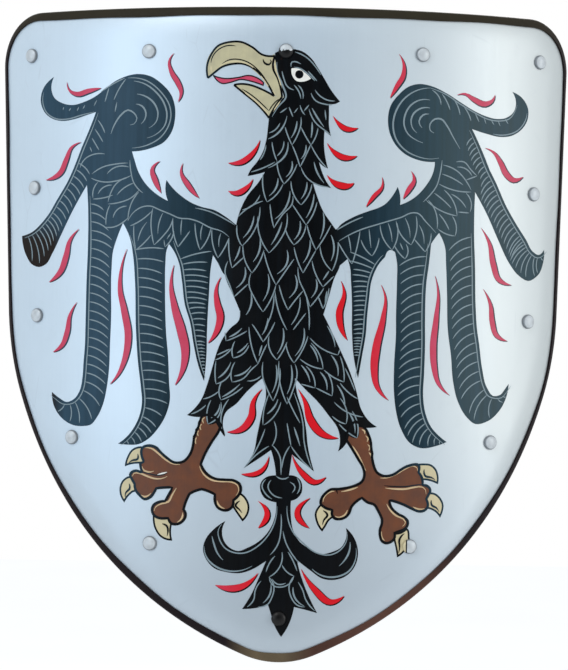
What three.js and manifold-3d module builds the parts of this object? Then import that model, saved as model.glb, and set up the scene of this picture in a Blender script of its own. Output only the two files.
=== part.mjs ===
// A curved heater shield: a steel plate bound in leather, lined and riveted, with a buckled
// forearm strap, a hand grip and an arm pad on its back. Millimetres, +Z up, front towards -Y.
import * as THREE from "three";
import { mergeVertices } from "three/addons/utils/BufferGeometryUtils.js";
import Module from "manifold-3d";

const wasm = await Module();
wasm.setup();

// Clearance between pieces that touch, and how far a cutting tool runs past what it cuts
const gap = 0.3;
const overrun = 2;

// Plate: bent about an upright axis behind it, with a border turned back all round
const plateRadius = 390;
const plateThickness = 1.5;
const shieldHeight = 591;
const topHalfArc = 293.9;
const sideTaper = THREE.MathUtils.degToRad(2.44);
const straightSide = 274;
const cornerRadius = 48;
const shoulderRadius = 233;
const shoulderHeading = THREE.MathUtils.degToRad(22.3);
const tipRadius = 84.6;
const borderWidth = 28;
const borderDrop = 4;
const borderRingShares = [0.36, 0.68];

// Steps round the outline
const tipSteps = 4;
const flankSteps = 10;
const shoulderSteps = 4;
const sideSteps = 2;
const cornerSteps = 7;

// Binding: a leather channel folded over the plate's edge
const bindingWidth = 8;
const bindingThickness = 1.5;
const bindingFlat = 2;

// Lining: one layer of leather behind the plate
const liningThickness = 3.5;
const liningInset = 12;

// Rivets and burrs
const shankRadius = 2;
const rivetSides = 10;
const domeRadius = 6.6;
const domeHeight = 3.6;
const domeRim = 0.6;
const tailRadius = 3.6;
const tailHeight = 1.2;
const tailCrownShare = 0.7;
const burrRadius = 6;
const burrThickness = 1;
const flatHeadRadius = 7;
const flatHeadThickness = 1;
const rivetInset = 40;
const cornerRivetInset = 41.3;
const upperSideRivetDrop = 162.5;
const lowerSideRivetDrop = 280.5;
const flankRivetShares = [0.2, 0.607];

// Where the arm lies: the point between strap and grip that the part is measured from
const armLineHeight = 30;
const armLineDepth = 55;

// Forearm strap: two ends that meet in a buckle over the arm
const strapWidth = 40;
const strapThickness = 2.8;
const strapArc = 90;
const barDepth = 82;
const archHalf = 80;
const archSpread = 8;
const archRadius = 24;
const footRadius = 6;
const footLength = 38;
const footEndRadius = 9;
const strapRivetPitch = 22;
const strapRivetEnd = 13;

// Buckle: a wire frame whose lower bar stands out over the billet, and its tongue
const barRadius = 2.2;
const barRise = 2;
const frameHalfWidth = 26;
const frameLength = 28;
const frameCorner = 5;
const tongueThickness = 2.6;
const tongueWidth = 5;
const tongueSlotWidth = 7.5;
const chapeTurnBack = 28;
const chapeDipStart = 4;
const chapeDipEnd = 16;
const tongueEyeStart = THREE.MathUtils.degToRad(17.6);
const tongueTipShare = 0.6;

// Billet: rises over the buckle's upper bar and lies on the chape
const billetTip = 54;
const billetRampStart = 25;
const billetRampEnd = 4;
const billetPointLength = 16;
const billetTipShare = 0.06;
const holeLength = 14;
const holeWidth = 6.5;
const holePitch = 21;
const holeLead = 2.5;

// Keeper: a leather loop that slides on both layers, down to the end of the chape's fold
const keeperWidth = 10;
const keeperThickness = 1.8;
const keeperCorner = 2.4;

// Hand grip
const gripWidth = 28;
const gripThickness = 4.5;
const gripArc = -105;
const gripHalf = 56;
const gripSpread = 10;
const gripRadius = 22;
const gripClear = 40;
const gripFootLength = 36;
const gripEndRadius = 11;
const gripRivetPitch = 14;
const gripRivetEnd = 8;

// Arm pad
const padArc = 45;
const padLength = 240;
const padHeight = 130;
const padThickness = 18;
const padPinch = 7;
const padSeam = 2.5;
const padSeamShare = 0.4;
const padSquareness = 0.34;
const padSteps = 36;

// Colours seen in the photograph; the back's leather and iron are plain
const paint = new THREE.MeshStandardMaterial({ color: 0xc9d8e6, roughness: 0.34, metalness: 0.75 });
const bareSteel = new THREE.MeshStandardMaterial({ color: 0x9aa0a6, roughness: 0.4, metalness: 1 });
const darkLeather = new THREE.MeshStandardMaterial({ color: 0x2c2420, roughness: 0.42 });
const brownLeather = new THREE.MeshStandardMaterial({ color: 0x6b4427, roughness: 0.62 });
const palmLeather = new THREE.MeshStandardMaterial({ color: 0x8a5f38, roughness: 0.7 });

// A solid from a geometry: vertices merged, collapsed faces dropped, faces turned outwards.
function closedSolid(geometry) {
  const bare = geometry.clone();
  bare.deleteAttribute("normal");
  bare.deleteAttribute("uv");
  const merged = mergeVertices(bare);
  const points = merged.getAttribute("position");
  const indices = merged.index.array;
  const a = new THREE.Vector3();
  const b = new THREE.Vector3();
  const c = new THREE.Vector3();
  const kept = [];
  let volume = 0;
  for (let i = 0; i < indices.length; i += 3) {
    const [p, q, r] = [indices[i], indices[i + 1], indices[i + 2]];
    if (p === q || q === r || r === p) continue;
    a.fromBufferAttribute(points, p);
    b.fromBufferAttribute(points, q);
    c.fromBufferAttribute(points, r);
    volume += a.dot(b.cross(c));
    kept.push([p, q, r]);
  }
  if (volume < 0) kept.forEach((face) => face.reverse());
  merged.setIndex(kept.flat());
  merged.computeVertexNormals();
  return merged;
}

function toManifold(geometry) {
  const vertProperties = new Float32Array(geometry.getAttribute("position").array);
  const triVerts = new Uint32Array(geometry.index.array);
  return new wasm.Manifold(new wasm.Mesh({ numProp: 3, vertProperties, triVerts }));
}

function fromManifold(solid) {
  const mesh = solid.getMesh();
  const geometry = new THREE.BufferGeometry();
  geometry.setAttribute("position", new THREE.BufferAttribute(new Float32Array(mesh.vertProperties), 3));
  geometry.setIndex(new THREE.BufferAttribute(new Uint32Array(mesh.triVerts), 1));
  geometry.computeVertexNormals();
  return geometry;
}

function cutAway(geometry, cutters) {
  let solid = toManifold(geometry);
  for (const cutter of cutters) solid = solid.subtract(toManifold(closedSolid(cutter)));
  return fromManifold(solid);
}

// Rings of points joined side by side; an open run is closed by a fan at each end.
function loft(rings, looped) {
  const all = [...rings];
  if (looped) {
    all.push(rings[0]);
  } else {
    all.unshift(collapsed(rings[0]));
    all.push(collapsed(rings[rings.length - 1]));
  }
  const size = rings[0].length;
  const positions = all.flat().flatMap((point) => point.toArray());
  const faces = [];
  for (let i = 0; i + 1 < all.length; i += 1) {
    for (let j = 0; j < size; j += 1) {
      const next = (j + 1) % size;
      const [p, q] = [i * size + j, i * size + next];
      faces.push(p, q, q + size, p, q + size, p + size);
    }
  }
  const geometry = new THREE.BufferGeometry();
  geometry.setAttribute("position", new THREE.Float32BufferAttribute(positions, 3));
  geometry.setIndex(faces);
  return closedSolid(geometry);
}

function collapsed(ring) {
  const middle = new THREE.Vector3();
  ring.forEach((point) => middle.add(point));
  middle.divideScalar(ring.length);
  return ring.map(() => middle.clone());
}

// Outline, laid flat: s runs along the bend and z upwards. A heading of 90 degrees is the
// tip's, and -90 degrees the top edge's.
const normalAt = (heading) => new THREE.Vector2(Math.cos(heading), -Math.sin(heading));
const halfHeight = shieldHeight / 2;
const tipHeading = Math.PI / 2;
const topHeading = -Math.PI / 2;
const sideEndArc = topHalfArc - straightSide * Math.tan(sideTaper);
const sideEnd = new THREE.Vector2(sideEndArc, halfHeight - straightSide);
const shoulderCentre = sideEnd.clone().addScaledVector(normalAt(sideTaper), -shoulderRadius);
const shoulderEnd = shoulderCentre.clone().addScaledVector(normalAt(shoulderHeading), shoulderRadius);
const tipCentre = new THREE.Vector2(0, tipRadius - halfHeight);
const cornerCentre = new THREE.Vector2(
  topHalfArc - cornerRadius * Math.tan(sideTaper) - cornerRadius / Math.cos(sideTaper),
  halfHeight - cornerRadius,
);

// The long flank's arc touches both the shoulder and the tip.
function flankRadiusFor() {
  const across = shoulderEnd.x - tipCentre.x;
  const above = shoulderEnd.y - tipCentre.y;
  const square = across * across + above * above - tipRadius * tipRadius;
  const reach = across * Math.cos(shoulderHeading) - above * Math.sin(shoulderHeading) - tipRadius;
  return square / (2 * reach);
}
const flankRadius = flankRadiusFor();
const flankCentre = shoulderEnd.clone().addScaledVector(normalAt(shoulderHeading), -flankRadius);
const flankHeading = Math.atan2(flankCentre.y - tipCentre.y, tipCentre.x - flankCentre.x);

// Samples lie on the inner line of the turned-back border, each with its outward normal.
function arcSamples(centre, radius, from, to, steps) {
  return Array.from({ length: steps + 1 }, (_, i) => {
    const normal = normalAt(THREE.MathUtils.lerp(from, to, i / steps));
    return { point: centre.clone().addScaledVector(normal, radius - borderWidth), normal };
  });
}

function rightHalfSamples() {
  const tip = arcSamples(tipCentre, tipRadius, tipHeading, flankHeading, tipSteps);
  const flank = arcSamples(flankCentre, flankRadius, flankHeading, shoulderHeading, flankSteps);
  const shoulder = arcSamples(shoulderCentre, shoulderRadius, shoulderHeading, sideTaper, shoulderSteps);
  const corner = arcSamples(cornerCentre, cornerRadius, sideTaper, topHeading, cornerSteps);
  const [low, high] = [shoulder[shoulderSteps].point, corner[0].point];
  const side = Array.from({ length: sideSteps - 1 }, (_, i) => ({
    point: low.clone().lerp(high, (i + 1) / sideSteps),
    normal: normalAt(sideTaper),
  }));
  const bottom = [...tip, ...flank.slice(1)];
  const top = bottom.map(({ point }) => ({
    point: new THREE.Vector2(point.x, halfHeight - borderWidth),
    normal: normalAt(topHeading),
  }));
  return [...bottom, ...shoulder.slice(1), ...side, ...corner, ...top.reverse()];
}

const rightHalf = rightHalfSamples();
const leftHalf = rightHalf
  .slice(1, -1)
  .reverse()
  .map(({ point, normal }) => ({
    point: new THREE.Vector2(-point.x, point.y),
    normal: new THREE.Vector2(-normal.x, normal.y),
  }));
const border = [...rightHalf, ...leftHalf];
const columnCount = tipSteps + flankSteps;

// Depth is measured from the plate's front face towards the axis of its bend.
function bend(s, z, depth) {
  const angle = s / plateRadius;
  const radius = plateRadius - depth;
  return new THREE.Vector3(radius * Math.sin(angle), plateRadius - radius * Math.cos(angle), z);
}

function borderDepth(inset) {
  const share = Math.max(0, 1 - inset / borderWidth);
  return borderDrop * share * share;
}

function place(sample, inset, depth) {
  const flat = sample.point.clone().addScaledVector(sample.normal, borderWidth - inset);
  return bend(flat.x, flat.y, borderDepth(inset) + depth);
}

// Upright strips between the border's lower and upper runs, and a fan at each side.
function innerTriangles() {
  const total = border.length;
  const last = rightHalf.length - 1;
  const mirrored = (i) => (total - i) % total;
  const right = [];
  for (let k = 0; k < columnCount; k += 1) {
    right.push([k, k + 1, last - k - 1], [k, last - k - 1, last - k]);
  }
  for (let j = columnCount + 1; j < last - columnCount; j += 1) {
    right.push([columnCount, j, j + 1]);
  }
  const left = right.map(([a, b, c]) => [mirrored(a), mirrored(c), mirrored(b)]);
  return [...right, ...left];
}

// A sheet that follows the plate, from its outer ring to the middle.
function sheet(outerInset, frontDepth, backDepth) {
  const count = border.length;
  const insets = [outerInset];
  borderRingShares
    .map((share) => share * borderWidth)
    .filter((inset) => inset > outerInset + bindingWidth / 2)
    .forEach((inset) => insets.push(inset));
  insets.push(borderWidth);
  const positions = [frontDepth, backDepth].flatMap((depth) =>
    insets.flatMap((inset) => border.flatMap((sample) => place(sample, inset, depth).toArray())),
  );
  const at = (layer, ring, i) => (layer * insets.length + ring) * count + (i % count);
  const faces = [];
  for (let layer = 0; layer < 2; layer += 1) {
    const push = (a, b, c) => faces.push(...(layer === 0 ? [a, b, c] : [a, c, b]));
    for (let ring = 0; ring + 1 < insets.length; ring += 1) {
      for (let i = 0; i < count; i += 1) {
        push(at(layer, ring, i), at(layer, ring, i + 1), at(layer, ring + 1, i + 1));
        push(at(layer, ring, i), at(layer, ring + 1, i + 1), at(layer, ring + 1, i));
      }
    }
    const middle = insets.length - 1;
    innerTriangles().forEach((corners) => push(...corners.map((i) => at(layer, middle, i))));
  }
  for (let i = 0; i < count; i += 1) {
    faces.push(at(0, 0, i), at(1, 0, i), at(1, 0, i + 1));
    faces.push(at(0, 0, i), at(1, 0, i + 1), at(0, 0, i + 1));
  }
  const geometry = new THREE.BufferGeometry();
  geometry.setAttribute("position", new THREE.Float32BufferAttribute(positions, 3));
  geometry.setIndex(faces);
  return closedSolid(geometry);
}

// A group whose x runs along the bend, y into the shield and z upwards, at one place on the plate.
function seat(s, z) {
  const group = new THREE.Group();
  group.position.copy(bend(s, z, 0));
  group.rotation.z = s / plateRadius;
  return group;
}

function drill(group, s, z, radius, from, to) {
  const cutter = new THREE.CylinderGeometry(radius, radius, to - from, rivetSides);
  cutter.translate(s, (from + to) / 2, z);
  group.updateMatrixWorld(true);
  return cutter.applyMatrix4(group.matrixWorld);
}

// Rivets round the rim: evenly along the top, then down the side and the flank's arc
const sideArcAt = (drop) => topHalfArc - drop * Math.tan(sideTaper) - rivetInset / Math.cos(sideTaper);

function flankPlace(share) {
  const normal = normalAt(THREE.MathUtils.lerp(shoulderHeading, flankHeading, share));
  return flankCentre.clone().addScaledVector(normal, flankRadius - rivetInset);
}

function rimRivetPlaces() {
  const cornerArc = topHalfArc - cornerRivetInset;
  const right = [
    new THREE.Vector2(cornerArc / 2, halfHeight - rivetInset),
    new THREE.Vector2(cornerArc, halfHeight - rivetInset),
    new THREE.Vector2(sideArcAt(upperSideRivetDrop), halfHeight - upperSideRivetDrop),
    new THREE.Vector2(sideArcAt(lowerSideRivetDrop), halfHeight - lowerSideRivetDrop),
    ...flankRivetShares.map(flankPlace),
  ];
  const left = right.map(({ x, y }) => new THREE.Vector2(-x, y)).reverse();
  const top = new THREE.Vector2(0, halfHeight - rivetInset);
  const tip = new THREE.Vector2(0, rivetInset - halfHeight);
  return [top, ...right, tip, ...left];
}
const rimSeats = rimRivetPlaces().map(({ x, y }) => seat(x, y));

const plateBack = plateThickness;
const liningFront = plateBack + gap;
const liningBack = liningFront + liningThickness;
const holeRadius = shankRadius + gap;

// How far a flat foot stands off the hollow lining, and how far a flat facet cuts inside it
const hollowUnder = (halfWidth) => (halfWidth * halfWidth) / (2 * (plateRadius - liningBack));
const columns = rightHalf.slice(0, columnCount);
const widestColumn = Math.max(...columns.map(({ point }, i) => rightHalf[i + 1].point.x - point.x));
const facetRise = (widestColumn * widestColumn) / (8 * plateRadius);

function lathe(profile, sides) {
  return closedSolid(new THREE.LatheGeometry(profile.map(([r, y]) => new THREE.Vector2(r, y)), sides));
}

// The peened end of a rivet, from its shank to the middle of its tail
function tailProfile(from) {
  return [
    [shankRadius, from],
    [tailRadius, from],
    [tailRadius * tailCrownShare, from + tailHeight],
    [0, from + tailHeight],
  ];
}

function domeRivet(tailFrom) {
  const domeSteps = 3;
  const rim = -gap - domeRim;
  const dome = Array.from({ length: domeSteps }, (_, i) => {
    const angle = (i / domeSteps) * (Math.PI / 2);
    return [domeRadius * Math.sin(angle), rim - (domeHeight - domeRim) * Math.cos(angle)];
  });
  const seatLine = [
    [domeRadius, rim],
    [domeRadius, -gap],
    [shankRadius, -gap],
  ];
  return lathe([...dome, ...seatLine, ...tailProfile(tailFrom)], rivetSides);
}

function flatRivet(headFrom, tailFrom) {
  const headTo = headFrom + flatHeadThickness;
  const head = [
    [0, headFrom],
    [flatHeadRadius, headFrom],
    [flatHeadRadius, headTo],
    [shankRadius, headTo],
  ];
  return lathe([...head, ...tailProfile(tailFrom)], rivetSides);
}

function burr(from) {
  const profile = [
    [holeRadius, from],
    [burrRadius, from],
    [burrRadius, from + burrThickness],
    [holeRadius, from + burrThickness],
    [holeRadius, from],
  ];
  return lathe(profile, rivetSides);
}

function mesh(name, geometry, material) {
  const made = new THREE.Mesh(geometry, material);
  made.name = name;
  return made;
}

const numbered = (name, i) => `${name}_${String(i + 1).padStart(2, "0")}`;

const shield = new THREE.Group();

function addRimRivets() {
  const burrFrom = liningBack + facetRise + gap;
  const tailFrom = burrFrom + burrThickness + gap;
  rimSeats.forEach((group, i) => {
    group.add(mesh(numbered("rim_rivet", i), domeRivet(tailFrom), paint));
    group.add(mesh(numbered("rim_burr", i), burr(burrFrom), bareSteel));
    shield.add(group);
  });
}

function addPlate() {
  const holes = rimSeats.map((group) => drill(group, 0, 0, holeRadius, -overrun, plateBack + overrun));
  const edgeInset = bindingThickness + gap;
  shield.add(mesh("shield_plate", cutAway(sheet(edgeInset, 0, plateBack), holes), paint));
}

function addBinding() {
  const back = plateBack + gap;
  const middle = plateThickness / 2;
  const shoulder = bindingThickness / 2;
  const profile = [
    [bindingWidth, -gap - bindingThickness],
    [bindingThickness, -gap - bindingThickness],
    [0, middle - bindingFlat / 2],
    [0, middle + bindingFlat / 2],
    [shoulder, back + shoulder],
    [bindingThickness, back + bindingThickness],
    [bindingWidth, back + bindingThickness],
    [bindingWidth, back],
    [bindingThickness, back],
    [bindingThickness, -gap],
    [bindingWidth, -gap],
  ];
  const rings = border.map((sample) => profile.map(([inset, depth]) => place(sample, inset, depth)));
  shield.add(mesh("edge_binding", loft(rings, true), darkLeather));
}

// Straps: a line in the plane of depth and height, rounded at its corners
function roundedLine(corners) {
  const line = [];
  corners.forEach(({ z, depth, radius }, i) => {
    const here = new THREE.Vector2(z, depth);
    if (i === 0 || i === corners.length - 1 || !radius) {
      line.push(here);
      return;
    }
    const before = new THREE.Vector2(corners[i - 1].z, corners[i - 1].depth).sub(here).normalize();
    const after = new THREE.Vector2(corners[i + 1].z, corners[i + 1].depth).sub(here).normalize();
    const half = Math.acos(THREE.MathUtils.clamp(before.dot(after), -1, 1)) / 2;
    const inwards = before.clone().add(after).normalize();
    const centre = inwards.multiplyScalar(radius / Math.sin(half)).add(here);
    const start = before.clone().multiplyScalar(radius / Math.tan(half)).add(here).sub(centre);
    const turn = Math.PI - 2 * half;
    const sign = Math.sign(before.y * after.x - before.x * after.y);
    const stepAngle = Math.PI / 10;
    const steps = Math.max(2, Math.ceil(turn / stepAngle));
    for (let k = 0; k <= steps; k += 1) {
      line.push(start.clone().rotateAround(new THREE.Vector2(), (sign * turn * k) / steps).add(centre));
    }
  });
  return line;
}

// Adds the stations that a rounded or pointed end needs, at distances from each end.
function withStations(line, fromStart, fromEnd) {
  const lengths = [0];
  for (let i = 1; i < line.length; i += 1) lengths.push(lengths[i - 1] + line[i].distanceTo(line[i - 1]));
  const total = lengths[line.length - 1];
  const wanted = [...fromStart, ...fromEnd.map((distance) => total - distance)];
  const stations = line.map((point, i) => ({ point, length: lengths[i] }));
  wanted.forEach((length) => {
    const i = lengths.findIndex((value) => value > length);
    if (i < 1 || lengths[i] - length < gap || length - lengths[i - 1] < gap) return;
    const share = (length - lengths[i - 1]) / (lengths[i] - lengths[i - 1]);
    stations.push({ point: line[i - 1].clone().lerp(line[i], share), length });
  });
  stations.sort((a, b) => a.length - b.length);
  return { stations, total };
}

const endShares = [0.1, 0.3, 0.6, 1];
const roundedHalf = (half, radius, distance) => {
  if (distance >= radius) return half;
  const rest = radius - distance;
  return half - radius + Math.sqrt(radius * radius - rest * rest);
};

// A flat strap bent along a line, with its width given at each distance from its two ends
function strap(line, thickness, startStations, endStations, halfWidthAt) {
  const { stations, total } = withStations(line, startStations, endStations);
  const rings = stations.map(({ point, length }, i) => {
    const before = stations[Math.max(0, i - 1)].point;
    const after = stations[Math.min(stations.length - 1, i + 1)].point;
    const into = point.clone().sub(before);
    const out = after.clone().sub(point);
    const along = into.clone().normalize().add(out.clone().normalize()).normalize();
    const first = into.length() > 0 ? into.normalize() : out.clone().normalize();
    const side = new THREE.Vector2(-along.y, along.x).multiplyScalar(thickness / 2 / along.dot(first));
    const half = halfWidthAt(length, total - length);
    const [inner, outer] = [point.clone().sub(side), point.clone().add(side)];
    return [
      new THREE.Vector3(-half, inner.y, inner.x),
      new THREE.Vector3(half, inner.y, inner.x),
      new THREE.Vector3(half, outer.y, outer.x),
      new THREE.Vector3(-half, outer.y, outer.x),
    ];
  });
  return loft(rings, false);
}

// Depths of the forearm strap's layers, from the buckle bar outwards
const footDepth = liningBack + gap + hollowUnder(strapWidth / 2) + strapThickness / 2;
const foldRadius = barRadius + gap + strapThickness / 2;
const chapeDepth = barDepth + foldRadius;
const turnBackDepth = chapeDepth - strapThickness - gap;
const billetDepth = chapeDepth + strapThickness + gap;
const lowBilletDepth = barDepth + barRise;
const farBarDepth = lowBilletDepth + strapThickness / 2 + gap + barRadius;
const footEnd = archHalf + archSpread + footLength;

const forearmSeat = seat(strapArc, armLineHeight);
const gripSeat = seat(gripArc, armLineHeight);

function footHoles(places, top) {
  return places.map(({ x, z }) => {
    const hole = new THREE.CylinderGeometry(holeRadius, holeRadius, top + overrun, rivetSides);
    return hole.translate(x, (top + overrun) / 2, z);
  });
}

const strapRivetHeight = footEnd - strapRivetEnd;
const forearmRivetPlaces = [1, -1].flatMap((end) =>
  [-1, 1].map((side) => ({ x: (side * strapRivetPitch) / 2, z: end * strapRivetHeight })),
);
const gripFootEnd = gripHalf + gripSpread + gripFootLength;
const gripRivetPlaces = [1, -1].flatMap((end) =>
  [0, 1].map((row) => ({ x: 0, z: end * (gripFootEnd - gripRivetEnd - row * gripRivetPitch) })),
);

// The chape: from its foot over the arch, round the buckle's upper bar and back under itself
function addChape() {
  const main = roundedLine([
    { z: footEnd, depth: footDepth },
    { z: archHalf + archSpread, depth: footDepth, radius: footRadius },
    { z: archHalf, depth: chapeDepth, radius: archRadius },
    { z: 0, depth: chapeDepth },
  ]);
  const foldSteps = 8;
  const fold = Array.from({ length: foldSteps }, (_, i) => {
    const angle = ((i + 1) / foldSteps) * Math.PI;
    return new THREE.Vector2(-foldRadius * Math.sin(angle), barDepth + foldRadius * Math.cos(angle));
  });
  const back = roundedLine([
    { z: 0, depth: barDepth - foldRadius },
    { z: chapeDipStart, depth: barDepth - foldRadius, radius: strapThickness },
    { z: chapeDipEnd, depth: turnBackDepth, radius: strapThickness },
    { z: chapeTurnBack, depth: turnBackDepth },
  ]);
  const startStations = endShares.map((share) => share * footEndRadius);
  const body = strap([...main, ...fold, ...back.slice(1)], strapThickness, startStations, [], (start) =>
    roundedHalf(strapWidth / 2, footEndRadius, start),
  );
  const slotReach = foldRadius + strapThickness;
  const slot = new THREE.BoxGeometry(tongueSlotWidth, 2 * slotReach, 2 * slotReach);
  slot.translate(0, barDepth, 0);
  const places = forearmRivetPlaces.filter(({ z }) => z > 0);
  const top = footDepth + strapThickness / 2;
  forearmSeat.add(mesh("forearm_chape", cutAway(body, [slot, ...footHoles(places, top)]), brownLeather));
}

function oblong(length, width, height) {
  const shape = new THREE.Shape();
  const straight = (length - width) / 2;
  shape.absarc(straight, 0, width / 2, -Math.PI / 2, Math.PI / 2);
  shape.absarc(-straight, 0, width / 2, Math.PI / 2, (3 * Math.PI) / 2);
  const solid = new THREE.ExtrudeGeometry(shape, { depth: height, bevelEnabled: false, curveSegments: 5 });
  return solid.rotateY(-Math.PI / 2).rotateZ(Math.PI / 2);
}

// The tongue's straight shank leaves its eye below the bar and ends on top of the far bar.
const tongueRadius = barRadius + gap + tongueThickness / 2;
const farRise = farBarDepth - barDepth;
const barSpan = Math.hypot(frameLength, farRise);
const shankTurn = Math.atan2(farRise, frameLength) + Math.asin((2 * tongueRadius) / barSpan);
const tongueHoleReach = () => {
  const slope = (billetDepth - lowBilletDepth) / (billetRampStart - billetRampEnd);
  const start = tongueRadius / Math.cos(shankTurn);
  const rampTop = billetDepth - barDepth + slope * billetRampEnd;
  return (rampTop + start) / (Math.tan(shankTurn) + slope);
};

// The billet: from its foot over the arch, under the far bar, over the near one, to its point
function addBillet() {
  const line = roundedLine([
    { z: -footEnd, depth: footDepth },
    { z: -archHalf - archSpread, depth: footDepth, radius: footRadius },
    { z: -archHalf, depth: lowBilletDepth, radius: archRadius },
    { z: -billetRampStart, depth: lowBilletDepth, radius: strapWidth },
    { z: -billetRampEnd, depth: billetDepth, radius: strapThickness },
    { z: billetTip, depth: billetDepth },
  ]);
  const pointShares = [0, 0.15, 0.4, 0.7, 1];
  const startStations = endShares.map((share) => share * footEndRadius);
  const endStations = pointShares.map((share) => share * billetPointLength);
  const half = strapWidth / 2;
  const widthAt = (start, end) => {
    if (end >= billetPointLength) return roundedHalf(half, footEndRadius, start);
    return half * Math.sqrt(THREE.MathUtils.lerp(billetTipShare, 1, end / billetPointLength));
  };
  const body = strap(line, strapThickness, startStations, endStations, widthAt);
  const holeRun = billetDepth - lowBilletDepth + strapThickness + 2 * overrun;
  const usedHole = holeLead - tongueHoleReach();
  const holes = [0, 1, 2].map((row) => {
    const z = usedHole + row * holePitch;
    return oblong(holeLength, holeWidth, holeRun).translate(0, 0, z);
  });
  const middleDepth = (billetDepth + lowBilletDepth) / 2;
  holes.forEach((hole) => {
    hole.computeBoundingBox();
    const centre = hole.boundingBox.getCenter(new THREE.Vector3());
    hole.translate(-centre.x, middleDepth - centre.y, 0);
  });
  const places = forearmRivetPlaces.filter(({ z }) => z < 0);
  const cutters = [...holes, ...footHoles(places, footDepth + strapThickness / 2)];
  forearmSeat.add(mesh("forearm_billet", cutAway(body, cutters), brownLeather));
}

// The frame: round wire bent to a rectangle, its length leaning from the near bar to the far bar
function addBuckle() {
  const wireSides = 8;
  const lean = Math.atan2(farRise, frameLength);
  const outline = new THREE.Path();
  outline.moveTo(frameHalfWidth - frameCorner, 0);
  outline.absarc(frameHalfWidth - frameCorner, frameCorner, frameCorner, -Math.PI / 2, 0);
  outline.absarc(frameHalfWidth - frameCorner, barSpan - frameCorner, frameCorner, 0, Math.PI / 2);
  outline.absarc(frameCorner - frameHalfWidth, barSpan - frameCorner, frameCorner, Math.PI / 2, Math.PI);
  outline.absarc(frameCorner - frameHalfWidth, frameCorner, frameCorner, Math.PI, (3 * Math.PI) / 2);
  const turns = outline.getPoints(4);
  const line = turns.filter((point, i) => i === 0 || point.distanceTo(turns[i - 1]) > gap);
  if (line[0].distanceTo(line[line.length - 1]) < gap) line.pop();
  const rings = line.map((point, i) => {
    const before = line[(i + line.length - 1) % line.length];
    const after = line[(i + 1) % line.length];
    const along = after.clone().sub(before).normalize();
    const outward = new THREE.Vector3(along.y, -along.x, 0);
    return Array.from({ length: wireSides }, (_, k) => {
      const angle = ((k + 0.5) / wireSides) * 2 * Math.PI;
      const offset = outward.clone().multiplyScalar(barRadius * Math.cos(angle));
      offset.z = barRadius * Math.sin(angle);
      return new THREE.Vector3(point.x, point.y, 0).add(offset);
    });
  });
  const frame = loft(rings, true);
  frame.rotateX(lean - Math.PI / 2).translate(0, barDepth, 0);
  forearmSeat.add(mesh("buckle_frame", frame, bareSteel));
}

function addTongue() {
  const eyeSteps = 12;
  const eyeEnd = 1.5 * Math.PI + shankTurn;
  const line = Array.from({ length: eyeSteps + 1 }, (_, i) => {
    const angle = THREE.MathUtils.lerp(tongueEyeStart, eyeEnd, i / eyeSteps);
    return new THREE.Vector2(tongueRadius * Math.cos(angle), tongueRadius * Math.sin(angle));
  });
  const far = new THREE.Vector2(frameLength, farRise);
  const tipTurns = [-shankTurn, 0, shankTurn];
  tipTurns.forEach((turn) => {
    line.push(new THREE.Vector2(Math.sin(turn), Math.cos(turn)).multiplyScalar(tongueRadius).add(far));
  });
  const rings = line.map((point, i) => {
    const before = line[Math.max(0, i - 1)];
    const after = line[Math.min(line.length - 1, i + 1)];
    const along = after.clone().sub(before).normalize();
    const side = new THREE.Vector2(-along.y, along.x);
    const taper = i === line.length - 1 ? tongueTipShare : 1;
    const half = (taper * tongueWidth) / 2;
    const thick = (taper * tongueThickness) / 2;
    const bevelled = half - thick / 2;
    const section = [
      [-bevelled, -thick],
      [bevelled, -thick],
      [half, 0],
      [bevelled, thick],
      [-bevelled, thick],
      [-half, 0],
    ];
    return section.map(([across, lift]) => {
      const at = side.clone().multiplyScalar(lift).add(point);
      return new THREE.Vector3(across, barDepth + at.y, -at.x);
    });
  });
  forearmSeat.add(mesh("buckle_tongue", loft(rings, false), bareSteel));
}

function roundedBox(path, left, low, right, high, radius) {
  path.moveTo(left + radius, low);
  path.absarc(right - radius, low + radius, radius, -Math.PI / 2, 0);
  path.absarc(right - radius, high - radius, radius, 0, Math.PI / 2);
  path.absarc(left + radius, high - radius, radius, Math.PI / 2, Math.PI);
  path.absarc(left + radius, low + radius, radius, Math.PI, (3 * Math.PI) / 2);
  return path;
}

function addKeeper() {
  const half = strapWidth / 2 + gap;
  const low = chapeDepth - strapThickness / 2 - gap;
  const high = billetDepth + strapThickness / 2 + gap;
  const t = keeperThickness;
  const shape = roundedBox(new THREE.Shape(), -half - t, low - t, half + t, high + t, keeperCorner);
  shape.holes.push(roundedBox(new THREE.Path(), -half, low, half, high, keeperCorner - t));
  const extent = { depth: keeperWidth, bevelEnabled: false, curveSegments: 3 };
  const band = new THREE.ExtrudeGeometry(shape, extent);
  band.translate(0, 0, chapeTurnBack + gap);
  forearmSeat.add(mesh("strap_keeper", closedSolid(band), brownLeather));
}

function addGrip() {
  const foot = liningBack + gap + hollowUnder(gripWidth / 2) + gripThickness / 2;
  const top = liningBack + gripClear + gripThickness / 2;
  const line = roundedLine([
    { z: gripFootEnd, depth: foot },
    { z: gripHalf + gripSpread, depth: foot, radius: footRadius },
    { z: gripHalf, depth: top, radius: gripRadius },
    { z: -gripHalf, depth: top, radius: gripRadius },
    { z: -gripHalf - gripSpread, depth: foot, radius: footRadius },
    { z: -gripFootEnd, depth: foot },
  ]);
  const stations = endShares.map((share) => share * gripEndRadius);
  const body = strap(line, gripThickness, stations, stations, (start, end) =>
    roundedHalf(gripWidth / 2, gripEndRadius, Math.min(start, end)),
  );
  const holes = footHoles(gripRivetPlaces, foot + gripThickness / 2);
  gripSeat.add(mesh("hand_grip", cutAway(body, holes), brownLeather));
  return foot + gripThickness / 2;
}

// Flat-headed rivets hold the feet to the lining, their heads let into its front
const flatHeadFrom = plateBack + 2 * gap;
const headRecess = flatHeadFrom + flatHeadThickness + gap;

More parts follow.
